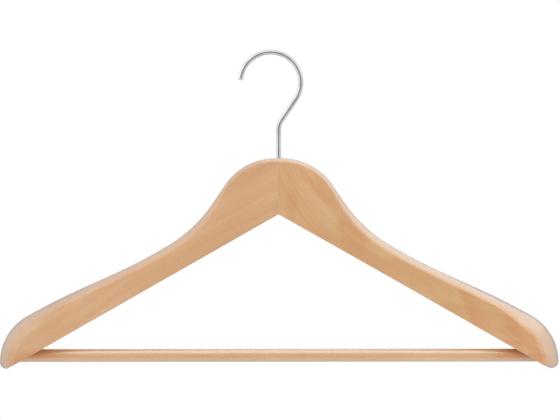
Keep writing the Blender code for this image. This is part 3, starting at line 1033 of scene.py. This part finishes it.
@dataclass
class WoodenArms:
    """The two shaped arms, glued at the neck in a bridle joint and bored for the hook, bar and pins."""

    shape: ArmShape
    hardware: HardwareSizes
    heel_round: float = 0.0050
    heel_start: float = 0.0010    # the heel's rounding where the crease meets the underside
    heel_fullness: dict[Side, float] = field(default_factory=lambda: {Side.LEFT: 1.68, Side.RIGHT: 1.57})
    # how far in from the flat faces the painted sheen on the rounded edge becomes full, as a share of the
    # edge's width
    sheen_fade: dict[Side, float] = field(default_factory=lambda: {Side.LEFT: 0.45, Side.RIGHT: 0.22})
    bore_rim: float = 0.0003      # the stem's bore opens by this much at the top
    bore_sides: int = 48
    socket_sides: int = 64
    hole_sides: int = 24
    seat_sides: int = 32
    sharp_angle: float = 32.0

    def build(self, side: Side, material: Material) -> Object:
        """Builds one arm.

        Args:
            side: Which arm.
            material: Its wood.

        Returns:
            The finished arm.
        """
        arm = self.blank(f"{side.word}_arm_wood", side)
        combine(arm, self.cutters(side))
        soften_shading(arm, self.sharp_angle)
        self.mark_painted_sheen(arm, side)
        dress(arm, material, Body.WOOD, Slot.ARMS, f"{side.word}_arm")
        return arm

    def mark_painted_sheen(self, arm: Object, side: Side) -> None:
        """Stores how far round the rounded edge each point of an arm lies, which sets how much painted sheen
        it takes.

        Args:
            arm: The arm, whose points get the attribute.
            side: Which arm.
        """
        shape, mask = self.shape, []
        start = shape.underside_point(0.0)
        for point in arm.data.vertices:
            x, y, z = point.co
            _, width = shape.edge_size((Vector((abs(x), z)) - start).dot(shape.along))
            inward = shape.half_thickness(x) - abs(y - shape.middle_y(x))
            mask.append(smooth_step(0.0, self.sheen_fade[side] * width, inward))
        store(arm.data, SHEEN_AND_SHADOW_TONE, mask)

    def blank(self, name: str, side: Side) -> Object:
        """Lofts an arm and closes it with the rounded heel.

        Args:
            name: The arm's name.
            side: Which arm.

        Returns:
            The blank, which runs past the neck's middle for the tongue.
        """
        shape, sign = self.shape, side.value
        stations = shape.stations()
        beyond = [station for station in stations[1:] if station[0].x < 2 * self.hardware.tongue_length]
        rings = [shape.ring(*station, -sign) for station in beyond[::-1]]
        rings += [shape.ring(*station, sign) for station in stations[:-1]]
        data = bmesh.new()
        rows = [[data.verts.new(point) for point in ring] for ring in rings]
        for low, high in zip(rows, rows[1:]):
            self.skin(data, low + low[:1], high + high[:1])
        data.faces.new(rows[0][::-1])
        heel = [[data.verts.new(point) for point in column]
                for column in self.heel_columns(rings[-1], shape.ring(*stations[-1], sign), side)]
        last = len(rows[-1]) - shape.foot_steps
        self.skin(data, rows[-1][shape.foot_steps:last], [column[0] for column in heel])
        for column, after in zip(heel, heel[1:]):
            self.skin(data, column, after)
        data.faces.new([column[-1] for column in heel])
        bmesh.ops.remove_doubles(data, verts=data.verts, dist=MERGE)
        return link_mesh(name, data)

    @staticmethod
    def skin(data: bmesh.types.BMesh, low: list[bmesh.types.BMVert], high: list[bmesh.types.BMVert]) -> None:
        """Joins two rows of points with a strip of faces.

        Args:
            data: The mesh.
            low: One row.
            high: The other row, which has as many points.
        """
        for first, second, third, fourth in zip(low, low[1:], high[1:], high):
            data.faces.new((first, second, third, fourth))

    def heel_columns(self, above: list[Vector], sharp: list[Vector], side: Side) -> list[list[Vector]]:
        """Rounds the sharp heel, most at the ridge and least where the crease meets the underside.

        Args:
            above: The last cross-section above the heel.
            sharp: The cross-section that lies in the plane of the underside.
            side: Which arm.

        Returns:
            Columns of points from the wall round to the underside, from the front edge to the back one.
        """
        shape, steps = self.shape, self.shape.foot_steps
        down = Vector((-side.value * shape.across.x, 0.0, -shape.across.y))
        middle = sum(sharp, Vector()) / len(sharp)
        rises = [0.0] + [rise for rise, _ in shape.edge_profile()]
        columns = [above[steps::-1]]
        for index, rise in zip(range(steps + 1, len(sharp) - steps - 1), rises + rises[::-1]):
            corner = sharp[index]
            inward = (sharp[index + 1] - sharp[index - 1]).cross(down).normalized()
            if inward.dot(middle - corner) < 0:
                inward = -inward
            upward = above[index] - corner
            radius = self.heel_start + (self.heel_round - self.heel_start) * rise
            reach = min(radius / math.tan(upward.angle(inward) / 2), upward.length)
            column, power = [], 2 / self.heel_fullness[side]
            for step in range(steps + 1):
                angle = math.pi / 2 * step / steps
                column.append(corner + upward.normalized() * reach * (1 - math.sin(angle) ** power)
                              + inward * reach * (1 - math.cos(angle) ** power))
            columns.append(column)
        return columns + [above[len(above) - steps - 1:]]

    def cutters(self, side: Side) -> list[Object]:
        """Makes what is cut from one arm.

        Args:
            side: Which arm.

        Returns:
            The seam's prism, the stem's bore, the bar's socket and the pin's hole and seat.
        """
        sizes, shape, sign = self.hardware, self.shape, side.value
        spare = sizes.seam_gap if side is Side.LEFT else 0.0
        half, reach = sizes.tongue_thickness / 2 + spare, -sizes.tongue_length - spare
        seam, far = sign * sizes.seam_gap / 2, shape.half_width * 2
        plan = [(seam, -far), (seam, -half), (reach, -half), (reach, half), (seam, half), (seam, far),
                (-sign * far, far), (-sign * far, -far)]
        low = shape.underside_z(shape.half_width) * 2
        wide, thin = sizes.wire_diameter / 2 + sizes.fit_gap, sizes.pin_diameter / 2 + sizes.gap
        counter, step = sizes.washer_diameter / 2 + sizes.gap, sizes.shoulder_z - sizes.gap
        top = shape.wood_top
        past, under = top + OVERRUN, shape.notch - OVERRUN
        bore = [(0.0, past), (wide + OVERRUN + self.bore_rim, past), (wide + self.bore_rim, top),
                (wide, top - self.bore_rim), (wide, step), (thin, step), (thin, sizes.ceiling),
                (counter, sizes.ceiling), (counter, under), (0.0, under)]
        x, y, z = sign * sizes.nail_x, sizes.nail_back, sizes.bar_z
        seat = y - sizes.nail_sink - sizes.nail_head_thickness - sizes.fit_gap
        return [
            prism("seam", plan, low, 0.0),
            turned("stem_bore", bore, self.bore_sides),
            cylinder("socket", sizes.bar_diameter / 2 + sizes.fit_gap,
                     (sign * shape.half_width / 2, sizes.bar_y, z),
                     (sign * (sizes.bar_end_x + sizes.gap), sizes.bar_y, z), self.socket_sides),
            cylinder("pin_hole", sizes.nail_diameter / 2 + sizes.fit_gap, (x, sizes.nail_tip - sizes.gap, z),
                     (x, y + OVERRUN, z), self.hole_sides),
            cylinder("pin_seat", sizes.nail_head_diameter / 2 + sizes.fit_gap, (x, seat, z),
                     (x, y + OVERRUN, z), self.seat_sides),
        ]


@dataclass
class RodMaker:
    """Sweeps round rods along drawn paths with one Geometry Nodes tree."""

    seed_step: float = 17.0      # metres between the unevenness of two seeds
    swell_scale: float = 30.0    # swells to a metre of an uneven rod

    def __post_init__(self) -> None:
        """Builds the tree, which every rod shares."""
        self.tree = self.build_tree()

    def build_tree(self) -> Tree:
        """Builds the tree that sweeps a round bar along a path whose points carry their radius.

        It can roll a screw thread about the Z axis below a height, and give the rod a slight unevenness
        along its length.

        Returns:
            The tree, whose named inputs are the sides, thread, unevenness, seed and material.
        """
        sheet, given, out = new_group(
            "swept_rod", "GeometryNodeTree",
            {"Path": ("NodeSocketGeometry", None), "Sides": ("NodeSocketInt", 24),
             "Thread Top": ("NodeSocketFloat", -10.0), "Thread Pitch": ("NodeSocketFloat", 0.0005),
             "Thread Depth": ("NodeSocketFloat", 0.0), "Unevenness": ("NodeSocketFloat", 0.0),
             "Seed": ("NodeSocketInt", 3), "Material": ("NodeSocketMaterial", None)},
            {"Rod": "NodeSocketGeometry"})
        radius = sheet.add("GeometryNodeInputNamedAttribute", {"Name": ROD_RADIUS}, data_type="FLOAT")
        curve = sheet.add("GeometryNodeMeshToCurve", {0: given["Path"]}).outputs[0]
        circle = sheet.add("GeometryNodeCurvePrimitiveCircle", {"Resolution": given["Sides"], "Radius": 1.0},
                           mode="RADIUS").outputs[0]
        rod = sheet.add("GeometryNodeCurveToMesh", {"Curve": curve, "Profile Curve": circle,
                                                    "Scale": radius.outputs[0], "Fill Caps": True}).outputs[0]
        place = sheet.add("GeometryNodeInputPosition").outputs[0]
        x, y, z = sheet.split(place)
        angle = sheet.calc("DIVIDE", sheet.calc("ARCTAN2", y, x), 2 * math.pi)
        turns = sheet.calc("ADD", sheet.calc("DIVIDE", z, given["Thread Pitch"]), angle)
        twice_down = sheet.calc("MULTIPLY", given["Thread Depth"], -2.0)
        groove = sheet.calc("MULTIPLY", sheet.calc("PINGPONG", turns, 0.5), twice_down)
        groove = sheet.calc("MULTIPLY", groove, sheet.calc("LESS_THAN", z, given["Thread Top"]))
        cutting = sheet.scaled(sheet.vector("NORMALIZE", sheet.joined(x, y)), groove)
        threaded = sheet.add("GeometryNodeSetPosition", {"Geometry": rod, "Offset": cutting}).outputs[0]
        seed = sheet.calc("MULTIPLY", given["Seed"], self.seed_step)
        moved = sheet.vector("ADD", place, sheet.joined(seed, 0.0))
        swell = sheet.add("ShaderNodeTexNoise", {"Vector": moved, "Scale": self.swell_scale, "Detail": 1.0})
        swell = sheet.calc("MULTIPLY", sheet.calc("SUBTRACT", swell.outputs[0], 0.5), given["Unevenness"])
        uneven = sheet.scaled(sheet.add("GeometryNodeInputNormal").outputs[0], swell)
        shaped = sheet.add("GeometryNodeSetPosition", {"Geometry": threaded, "Offset": uneven}).outputs[0]
        smooth = sheet.add("GeometryNodeSetShadeSmooth", {"Geometry": shaped}).outputs[0]
        real = sheet.add("GeometryNodeRealizeInstances", {"Geometry": smooth}).outputs[0]
        dressed = sheet.add("GeometryNodeSetMaterial", {"Geometry": real, "Material": given["Material"]})
        sheet.feed(out, {"Rod": dressed.outputs[0]})
        return sheet.tree

    def sweep(self, name: str, path: list[tuple[Vector, float]], sides: int, material: Material,
              **inputs: float) -> Object:
        """Sweeps one rod.

        Args:
            name: The rod's name.
            path: Points and the rod's radius at each.
            sides: Faces round the rod.
            material: The rod's material.
            **inputs: The tree's other inputs, with _ for a space in their names.

        Returns:
            The rod as a plain mesh.
        """
        mesh = bpy.data.meshes.new(name)
        mesh.from_pydata([point for point, _ in path], [(i, i + 1) for i in range(len(path) - 1)], [])
        store(mesh, ROD_RADIUS, [radius for _, radius in path])
        rod = new_object(name, mesh)
        modifier = rod.modifiers.new("swept_rod", "NODES")
        modifier.node_group = self.tree
        values = {"Sides": sides, "Material": material}
        values.update({label.replace("_", " "): value for label, value in inputs.items()})
        for item in self.tree.interface.items_tree:
            if item.in_out == "INPUT" and item.name in values:
                modifier[item.identifier] = values[item.name]
        apply_modifiers(rod)
        return rod


@dataclass
class SwivelHook:
    """The wire hook with its ball tip, its threaded thin end, and the nut that holds it in the wood."""

    hardware: HardwareSizes
    rods: RodMaker
    ball_diameter: float = 0.0044
    crown_radius: float = 0.0245
    crown_offset: float = 0.0063
    crown_tip_angle: float = 170.7
    crown_shank_angle: float = -34.3
    stem_bend_radius: float = 0.015
    arc_step: float = 2.0
    ball_steps: int = 14
    wire_sides: int = 32
    thread_pitch: float = 0.0005
    thread_depth: float = 0.00024
    thread_rows: int = 12             # points of the path to one turn of the thread
    thread_start: float = 0.0002      # below the counterbore's ceiling
    shoulder_ease: float = 0.0001
    first_step: float = 0.4           # how near the ball's first point lies to its end, in steps
    sharp_angle: float = 40.0
    nut_chamfer: float = 0.00045
    nut_chamfer_width: float = 1.6    # over its height
    nut_flare: float = 0.7            # how far the bore opens at its ends, over the chamfer's height
    nut_spare: float = 0.00002        # keeps the corners' upright edges
    nut_sides: int = 64
    nut_bore_sides: int = 48
    nut_sharp_angle: float = 24.0

    def wire_path(self) -> list[Vector]:
        """Draws the middle of the wire.

        Returns:
            Its points (x, z), from the ball to the stem's shoulder.
        """
        inner = self.crown_radius - self.hardware.wire_diameter / 2
        centre = Vector((-self.crown_offset, -math.sqrt(inner ** 2 - self.crown_offset ** 2)))
        sweep = self.crown_tip_angle - self.crown_shank_angle
        steps = math.ceil(sweep / self.arc_step)
        crown = []
        for step in range(steps + 1):
            angle = math.radians(self.crown_tip_angle - sweep * step / steps)
            crown.append(centre + Vector((math.cos(angle), math.sin(angle))) * self.crown_radius)
        lean = math.radians(self.crown_shank_angle)
        shank = Vector((math.sin(lean), -math.cos(lean)))
        corner = crown[-1] + shank * (crown[-1].x / -shank.x)
        foot = Vector((0.0, self.hardware.shoulder_z))
        return crown[:-1] + rounded_path([crown[-1], corner, foot], [self.stem_bend_radius], self.arc_step)

    def rod_path(self) -> list[tuple[Vector, float]]:
        """Adds the ball and the thin end to the wire's path.

        Returns:
            Points and the wire's radius at each.
        """
        flat, sizes = self.wire_path(), self.hardware
        wire, ball, thin = sizes.wire_diameter / 2, self.ball_diameter / 2, sizes.pin_diameter / 2
        outward = (flat[0] - flat[1]).normalized()
        join = math.acos(math.sqrt(ball ** 2 - wire ** 2) / ball)
        path = []
        for step in range(self.ball_steps):
            angle = (math.pi - join) * (step + self.first_step) / self.ball_steps
            centre = flat[0] + outward * ball * math.cos(angle)
            path.append((Vector((centre.x, 0.0, centre.y)), ball * math.sin(angle)))
        start = next(i for i, point in enumerate(flat) if (point - flat[0]).length > ball)
        path += [(Vector((point.x, 0.0, point.y)), wire) for point in flat[start:]]
        for fall, rest in ((self.shoulder_ease, self.shoulder_ease), (2 * self.shoulder_ease, 0.0)):
            path.append((Vector((0.0, 0.0, sizes.shoulder_z - fall)), thin + rest))
        top, low = sizes.ceiling, sizes.stem_end
        rows = round((top - low) / self.thread_pitch * self.thread_rows)
        for row in range(rows + 1):
            path.append((Vector((0.0, 0.0, top + (low - top) * row / rows)), thin))
        path[-1] = (path[-1][0], thin - self.thread_depth)
        return path

    def build_wire(self, material: Material) -> Object:
        """Builds the hook's wire.

        Args:
            material: Its bright plating.

        Returns:
            The finished wire.
        """
        wire = self.rods.sweep("hook_wire", self.rod_path(), self.wire_sides, material,
                               Thread_Top=self.hardware.ceiling - self.thread_start,
                               Thread_Pitch=self.thread_pitch, Thread_Depth=self.thread_depth)
        soften_shading(wire, self.sharp_angle)
        dress(wire, material, Body.HOOK, Slot.HOOK, "hook")
        return wire

    def build_nut(self, material: Material) -> Object:
        """Builds the hexagon nut with chamfered corners and a countersunk bore.

        Args:
            material: Its zinc plating.

        Returns:
            The finished nut.
        """
        sizes = self.hardware
        top, low = sizes.nut_top, sizes.nut_top - sizes.nut_thickness
        corner = sizes.nut_width / 2 / math.cos(math.radians(30))
        nut = cylinder("nut", corner, (0, 0, low), (0, 0, top), 6)
        rim, outside = self.nut_chamfer, corner + self.nut_spare
        inside = corner - rim * self.nut_chamfer_width
        envelope = turned("nut_envelope", [(0.0, low), (inside, low), (outside, low + rim),
                                           (outside, top - rim), (inside, top), (0.0, top)], self.nut_sides)
        combine(nut, [envelope], "INTERSECT")
        bore, flare = sizes.pin_diameter / 2 + sizes.gap / 3, rim * self.nut_flare
        hole = turned("nut_bore", [(0.0, low - rim), (bore + flare + rim, low - rim), (bore, low + flare),
                                   (bore, top - flare), (bore + flare + rim, top + rim), (0.0, top + rim)],
                      self.nut_bore_sides)
        combine(nut, [hole])
        soften_shading(nut, self.nut_sharp_angle)
        dress(nut, material, Body.HOOK, Slot.STEEL, "hook_nut")
        return nut


@dataclass
class TrouserBar:
    """The round bar between the arms, a turned dowel with eased ends and a hole for each pin."""

    hardware: HardwareSizes
    rods: RodMaker
    rows: int = 220
    sides: int = 48
    hole_sides: int = 24
    sharp_angle: float = 35.0
    ease: float = 0.0006
    ease_step: int = 15
    unevenness: float = 0.00006
    shadowed_ends: Pair = (0.157, 0.192)    # where its painted shadow begins and is full, from the middle
    shadow_rise: Pair = (-1.5, 0.5)       # the same up the bar, in radii from its axis

    def build(self, material: Material) -> Object:
        """Builds the bar.

        Args:
            material: Its wood.

        Returns:
            The finished bar.
        """
        sizes = self.hardware
        radius, end = sizes.bar_diameter / 2 - self.unevenness / 2, sizes.bar_end_x
        path = []
        for angle in range(0, 90, self.ease_step):
            lift = math.radians(angle)
            path.append((-end + self.ease * (1 - math.cos(lift)), radius - self.ease * (1 - math.sin(lift))))
        run = end - self.ease
        middle = [(-run + 2 * run * row / self.rows, radius) for row in range(self.rows + 1)]
        places = path + middle + [(-x, size) for x, size in path[::-1]]
        points = [(Vector((x, sizes.bar_y, sizes.bar_z)), size) for x, size in places]
        bar = self.rods.sweep("trouser_dowel", points, self.sides, material, Unevenness=self.unevenness)
        holes = [cylinder(f"bar_hole_{side.word}", sizes.nail_diameter / 2 + sizes.fit_gap,
                          (side.value * sizes.nail_x, sizes.nail_tip - sizes.gap, sizes.bar_z),
                          (side.value * sizes.nail_x, sizes.bar_y + sizes.bar_diameter, sizes.bar_z),
                          self.hole_sides)
                 for side in Side]
        combine(bar, holes)
        soften_shading(bar, self.sharp_angle)
        self.mark_painted_shadow(bar)
        dress(bar, material, Body.WOOD, Slot.BAR, "trouser_bar")
        return bar

    def mark_painted_shadow(self, bar: Object) -> None:
        """Stores the painted shadow that the arms cast on the bar's ends, most on its upper side.

        Args:
            bar: The bar, whose points get the attribute.
        """
        start, full = self.shadowed_ends
        mask = []
        for point in bar.data.vertices:
            upper = (point.co.z - self.hardware.bar_z) / self.hardware.bar_diameter * 2
            mask.append(smooth_step(start, full, abs(point.co.x)) * smooth_step(*self.shadow_rise, upper))
        store(bar.data, SHEEN_AND_SHADOW_TONE, mask)


@dataclass
class SmallSteel:
    """The washer under the neck and the panel pins that hold the bar.

    ring_form gives each rolled ring's points, as shares of its pitch and depth, and dome those of the head's
    top, as shares of its height below the top and of the head's radius.
    """

    hardware: HardwareSizes
    rods: RodMaker
    rim: float = 0.00022             # rounding of the washer's rims and the pin's head
    rim_steps: int = 4
    washer_sides: int = 64
    washer_sharp_angle: float = 30.0
    point: Pair = (0.15, 1.6)        # the pin's tip: its radius and length, in shank radii
    pin_sides: int = 24
    pin_sharp_angle: float = 40.0
    shank_rings: int = 9
    rings_length: float = 0.0052     # from the first ring to the head
    ring_pitch: float = 0.0005
    ring_depth: float = 0.00007
    ring_form: tuple[Pair, ...] = ((0.0, 0.0), (0.25, 1.0), (0.5, 1.0), (0.75, 0.0))
    cone: Pair = (0.0004, 0.0002)    # under the head: its length and height
    head_face: float = 0.00001
    head_corner: float = 0.7         # how far the head's rounding reaches up, in rims
    head_wall: float = 0.00005       # between the head's side and its dome
    head_dome: float = 0.00018
    dome: tuple[Pair, ...] = ((0.45, 0.82), (0.1, 0.45), (0.0, 0.08))

    def build_washer(self, material: Material) -> Object:
        """Builds the washer that the wood hangs on, with rounded rims.

        Args:
            material: Its zinc plating.

        Returns:
            The finished washer.
        """
        sizes, rim = self.hardware, self.rim
        outer, inner = sizes.washer_diameter / 2, sizes.pin_diameter / 2 + sizes.gap
        low, high = sizes.washer_top - sizes.washer_thickness, sizes.washer_top
        corners = ((inner, low, 180), (outer, low, 270), (outer, high, 0), (inner, high, 90))
        profile = []
        for radius, z, start in corners:
            towards = (rim if radius == inner else -rim, rim if z == low else -rim)
            for step in range(self.rim_steps + 1):
                angle = math.radians(start + 90 * step / self.rim_steps)
                profile.append((radius + towards[0] + rim * math.cos(angle),
                                z + towards[1] + rim * math.sin(angle)))
        washer = turned("washer", profile, self.washer_sides)
        soften_shading(washer, self.washer_sharp_angle)
        dress(washer, material, Body.WOOD, Slot.STEEL, "hook_washer")
        return washer

    def build_pin(self, side: Side, material: Material) -> Object:
        """Builds one panel pin, with rings rolled into its shank and a slightly domed head.

        Args:
            side: Which end of the bar it holds.
            material: Its zinc plating.

        Returns:
            The finished pin.
        """
        sizes = self.hardware
        shank, head = sizes.nail_diameter / 2, sizes.nail_head_diameter / 2
        neck = sizes.nail_length - sizes.nail_head_thickness
        path = [(0.0, shank * self.point[0]), (shank * self.point[1], shank)]
        first, pitch = neck - self.rings_length, self.ring_pitch
        for ring in range(self.shank_rings):
            path += [(first + pitch * ring + pitch * share, shank - self.ring_depth * depth)
                     for share, depth in self.ring_form]
        path += [(neck - self.cone[0], shank), (neck, shank + self.cone[1]),
                 (neck + self.head_face, head - self.rim), (neck + self.rim * self.head_corner, head),
                 (sizes.nail_length - self.head_dome - self.head_wall, head)]
        path += [(sizes.nail_length - self.head_dome * below, head * share) for below, share in self.dome]
        x = side.value * sizes.nail_x
        points = [(Vector((x, sizes.nail_tip + at, sizes.bar_z)), radius) for at, radius in path]
        pin = self.rods.sweep(f"panel_pin_{side.word}", points, self.pin_sides, material)
        soften_shading(pin, self.pin_sharp_angle)
        dress(pin, material, Body.WOOD, Slot.STEEL, f"bar_pin_{side.word}")
        return pin


@dataclass
class SoftBox:
    """One soft light of the studio."""

    name: str
    place: Place
    size: Pair
    power: float
    colour: Colour = (1.0, 0.98, 0.96)
    mirrored_only: bool = False    # shows in the lacquer's gloss; the others only light its colour
    aim: Place = (0.0, 0.0, -0.15)

    def build(self, lacquered: bpy.types.Collection) -> Object:
        """Builds the light.

        Args:
            lacquered: The lacquered wood, which is all that it shines on.

        Returns:
            The light.
        """
        data = bpy.data.lights.new(self.name, "AREA")
        data.shape = "RECTANGLE"
        data.size, data.size_y = self.size
        data.energy = self.power
        data.color = self.colour
        light = new_object(self.name, data)
        light.location = self.place
        light.rotation_euler = (Vector(self.aim) - Vector(self.place)).to_track_quat("-Z", "Y").to_euler()
        light.visible_camera = False
        light.visible_glossy = self.mirrored_only
        light.visible_diffuse = not self.mirrored_only
        light.light_linking.receiver_collection = lacquered
        return light


@dataclass(frozen=True)
class Room:
    """The studio's room: a soft glow that lights the hanger, and brighter walls that its gloss mirrors.

    Each edge is where a colour begins to give way to the next and where it has, along a direction.
    """

    glow_low: Colour = (0.53, 0.525, 0.52)
    glow_high: Colour = (0.36, 0.37, 0.38)
    glow_edge: Pair = (-0.35, 0.15)
    lower: Colour = (0.95, 0.95, 0.95)
    upper: Colour = (1.25, 1.25, 1.25)
    upper_edge: Pair = (-0.5, 0.5)
    right: Colour = (1.05, 1.05, 1.05)
    left: Colour = (1.30, 1.30, 1.30)
    left_edge: Pair = (0.6, -1.0)
    back: Colour = (0.40, 0.41, 0.43)
    back_edge: Pair = (0.35, 0.85)
    dark: Colour = (0.42, 0.42, 0.43)    # a dark screen in front of the hanger
    dark_way: Place = (0.10, -0.99, -0.04)
    dark_edge: Pair = (0.60, 0.93)
    seen: Colour = (1.0, 1.0, 1.0)       # behind the hanger in the picture

    def paint(self) -> None:
        """Gives the world the room's colours."""
        world = bpy.data.worlds.new("studio")
        world.use_nodes = True
        world.node_tree.nodes.clear()
        bpy.context.scene.world = world
        sheet = NodeSheet(world.node_tree)
        way = sheet.add("ShaderNodeTexCoord").outputs["Generated"]
        x, y, z = sheet.split(way)
        soft = sheet.blend(sheet.span(z, *self.glow_edge), self.glow_low, self.glow_high)
        bright = sheet.blend(sheet.span(z, *self.upper_edge), self.lower, self.upper)
        walls = sheet.blend(sheet.span(x, *self.left_edge), self.right, self.left)
        walls = sheet.blend(1.0, bright, walls, "MULTIPLY")
        walls = sheet.blend(sheet.span(y, *self.back_edge), walls, self.back)
        facing = sheet.add("ShaderNodeVectorMath", {0: way, 1: self.dark_way},
                           operation="DOT_PRODUCT").outputs["Value"]
        mirrored = sheet.blend(sheet.span(facing, *self.dark_edge), walls, self.dark)
        path = sheet.add("ShaderNodeLightPath").outputs
        shone = sheet.blend(path["Is Glossy Ray"], soft, mirrored)
        lit = sheet.add("ShaderNodeBackground", {"Color": shone, "Strength": 1.0})
        plain = sheet.add("ShaderNodeBackground", {"Color": (*self.seen, 1.0), "Strength": 1.0})
        mixed = sheet.add("ShaderNodeMixShader", {0: path["Is Camera Ray"], 1: lit.outputs[0],
                                                  2: plain.outputs[0]})
        sheet.add("ShaderNodeOutputWorld", {"Surface": mixed.outputs[0]})


@dataclass
class Studio:
    """A plain white studio with the camera where the photograph was taken."""

    azimuth: float = 2.18
    elevation: float = 1.17
    roll: float = 0.196
    distance: float = 2.72
    scale: float = 1234.8        # pixels of the photograph to a metre at the hanger
    aim: Place = (0.00100, 0.0, -0.12495)
    floor_level: float = -1.10
    floor_size: float = 7.5
    floor_sides: int = 96
    floor_colour: Colour = (0.86, 0.86, 0.86)
    floor_shade: float = 0.97    # of its slightly darker clouds
    floor_clouds: Mark = Mark((1.5, 1.5, 1.5), 3.0)
    floor_roughness: float = 0.85
    floor_light: float = 2.0     # watts to a square metre, on the floor alone
    floor_light_angle: float = 60.0
    room: Room = Room()
    lights: tuple[SoftBox, ...] = (
        SoftBox("overhead", (0.10, -0.75, 1.30), (2.2, 1.3), 2.0, (1.0, 1.0, 1.0)),
        SoftBox("key", (1.5, -2.4, 0.05), (1.5, 1.3), 36.6),
        SoftBox("fill", (-1.2, -2.5, 0.05), (1.6, 1.4), 18.6),
        SoftBox("rear", (-0.5, 2.6, 0.0), (2.0, 1.4), 36.0),
        SoftBox("gloss", (0.5, 0.0, 1.25), (2.8, 2.2), 21.0, (1.0, 1.0, 1.0), True),
    )

    def place_camera(self) -> Object:
        """Puts the camera at the photograph's angle.

        Returns:
            The camera.
        """
        turn, tilt = math.radians(self.azimuth), math.radians(self.elevation)
        back = Vector((math.sin(turn) * math.cos(tilt), -math.cos(turn) * math.cos(tilt), math.sin(tilt)))
        data = bpy.data.cameras.new("camera")
        data.type = "PERSP"
        data.sensor_width = SENSOR_WIDTH
        data.lens = self.scale * self.distance * SENSOR_WIDTH / PICTURE_WIDTH
        camera = new_object("camera", data)
        straight = back.to_track_quat("Z", "Y").to_matrix().to_4x4()
        rolled = straight @ Matrix.Rotation(-math.radians(self.roll), 4, "Z")
        camera.matrix_world = Matrix.Translation(Vector(self.aim) + back * self.distance) @ rolled
        bpy.context.scene.camera = camera
        return camera

    def lay_floor(self) -> Object:
        """Lays the plain pale floor, which is clear when it is seen from below.

        Returns:
            The floor.
        """
        data = bmesh.new()
        bmesh.ops.create_circle(data, cap_ends=True, radius=self.floor_size, segments=self.floor_sides)
        bmesh.ops.translate(data, verts=data.verts, vec=(0.0, 0.0, self.floor_level))
        floor = link_mesh("studio_floor", data)
        if floor.data.polygons[0].normal.z < 0.0:
            floor.data.flip_normals()
        material, sheet, shader = new_material("floor_paint")
        cloud = self.floor_clouds.draw(sheet, sheet.add("ShaderNodeTexCoord").outputs["Object"])
        shade = tuple(self.floor_shade * value for value in self.floor_colour)
        sheet.feed(shader, {"Base Color": sheet.blend(cloud, self.floor_colour, shade),
                            "Roughness": self.floor_roughness})
        under = sheet.add("ShaderNodeNewGeometry").outputs["Backfacing"]
        clear = sheet.add("ShaderNodeBsdfTransparent").outputs[0]
        seen = sheet.add("ShaderNodeMixShader", {0: under, 1: shader.outputs[0], 2: clear}).outputs[0]
        sheet.feed(sheet.tree.nodes["Material Output"], {"Surface": seen})
        floor.data.materials.append(material)
        floor.visible_glossy = False
        floor.visible_diffuse = False
        return floor

    def light_floor(self, floor: Object) -> Object:
        """Adds a soft sun that shines on the floor and on nothing else.

        Args:
            floor: The studio's floor.

        Returns:
            The sun.
        """
        data = bpy.data.lights.new("floor_sun", "SUN")
        data.energy = self.floor_light
        data.angle = math.radians(self.floor_light_angle)
        sun = new_object("floor_sun", data)
        sun.visible_glossy = False
        lit = bpy.data.collections.new("floor_only")
        lit.objects.link(floor)
        sun.light_linking.receiver_collection = lit
        return sun

    def build(self) -> bpy.types.Collection:
        """Builds the camera, the room, the floor and the lights.

        Returns:
            An empty collection for the lacquered wood, which the soft lights shine on.
        """
        self.place_camera()
        self.room.paint()
        self.light_floor(self.lay_floor())
        lacquered = bpy.data.collections.new("lacquered")
        for light in self.lights:
            light.build(lacquered)
        view = bpy.context.scene.view_settings
        view.view_transform = "Standard"
        view.look = "None"
        log.info("studio: camera at azimuth %.1f, %d soft lights", self.azimuth, len(self.lights))
        return lacquered


def main() -> None:
    """Builds the studio and every piece of the hanger in order."""
    logging.basicConfig(level=logging.INFO, format="%(name)s: %(message)s")
    lacquered = Studio().build()
    shape = ArmShape()
    hardware = HardwareSizes(shape=shape)
    finishes = Finishes.build(shape.slope)
    rods = RodMaker()
    arms = WoodenArms(shape, hardware)
    for side, wood in ((Side.LEFT, finishes.left_arm), (Side.RIGHT, finishes.right_arm)):
        lacquered.objects.link(arms.build(side, wood))
    hook = SwivelHook(hardware, rods)
    hook.build_wire(finishes.chrome)
    hook.build_nut(finishes.steel)
    lacquered.objects.link(TrouserBar(hardware, rods).build(finishes.bar))
    steel = SmallSteel(hardware, rods)
    steel.build_washer(finishes.steel)
    for side in Side:
        steel.build_pin(side, finishes.steel)


if __name__ == "__main__":
    main()
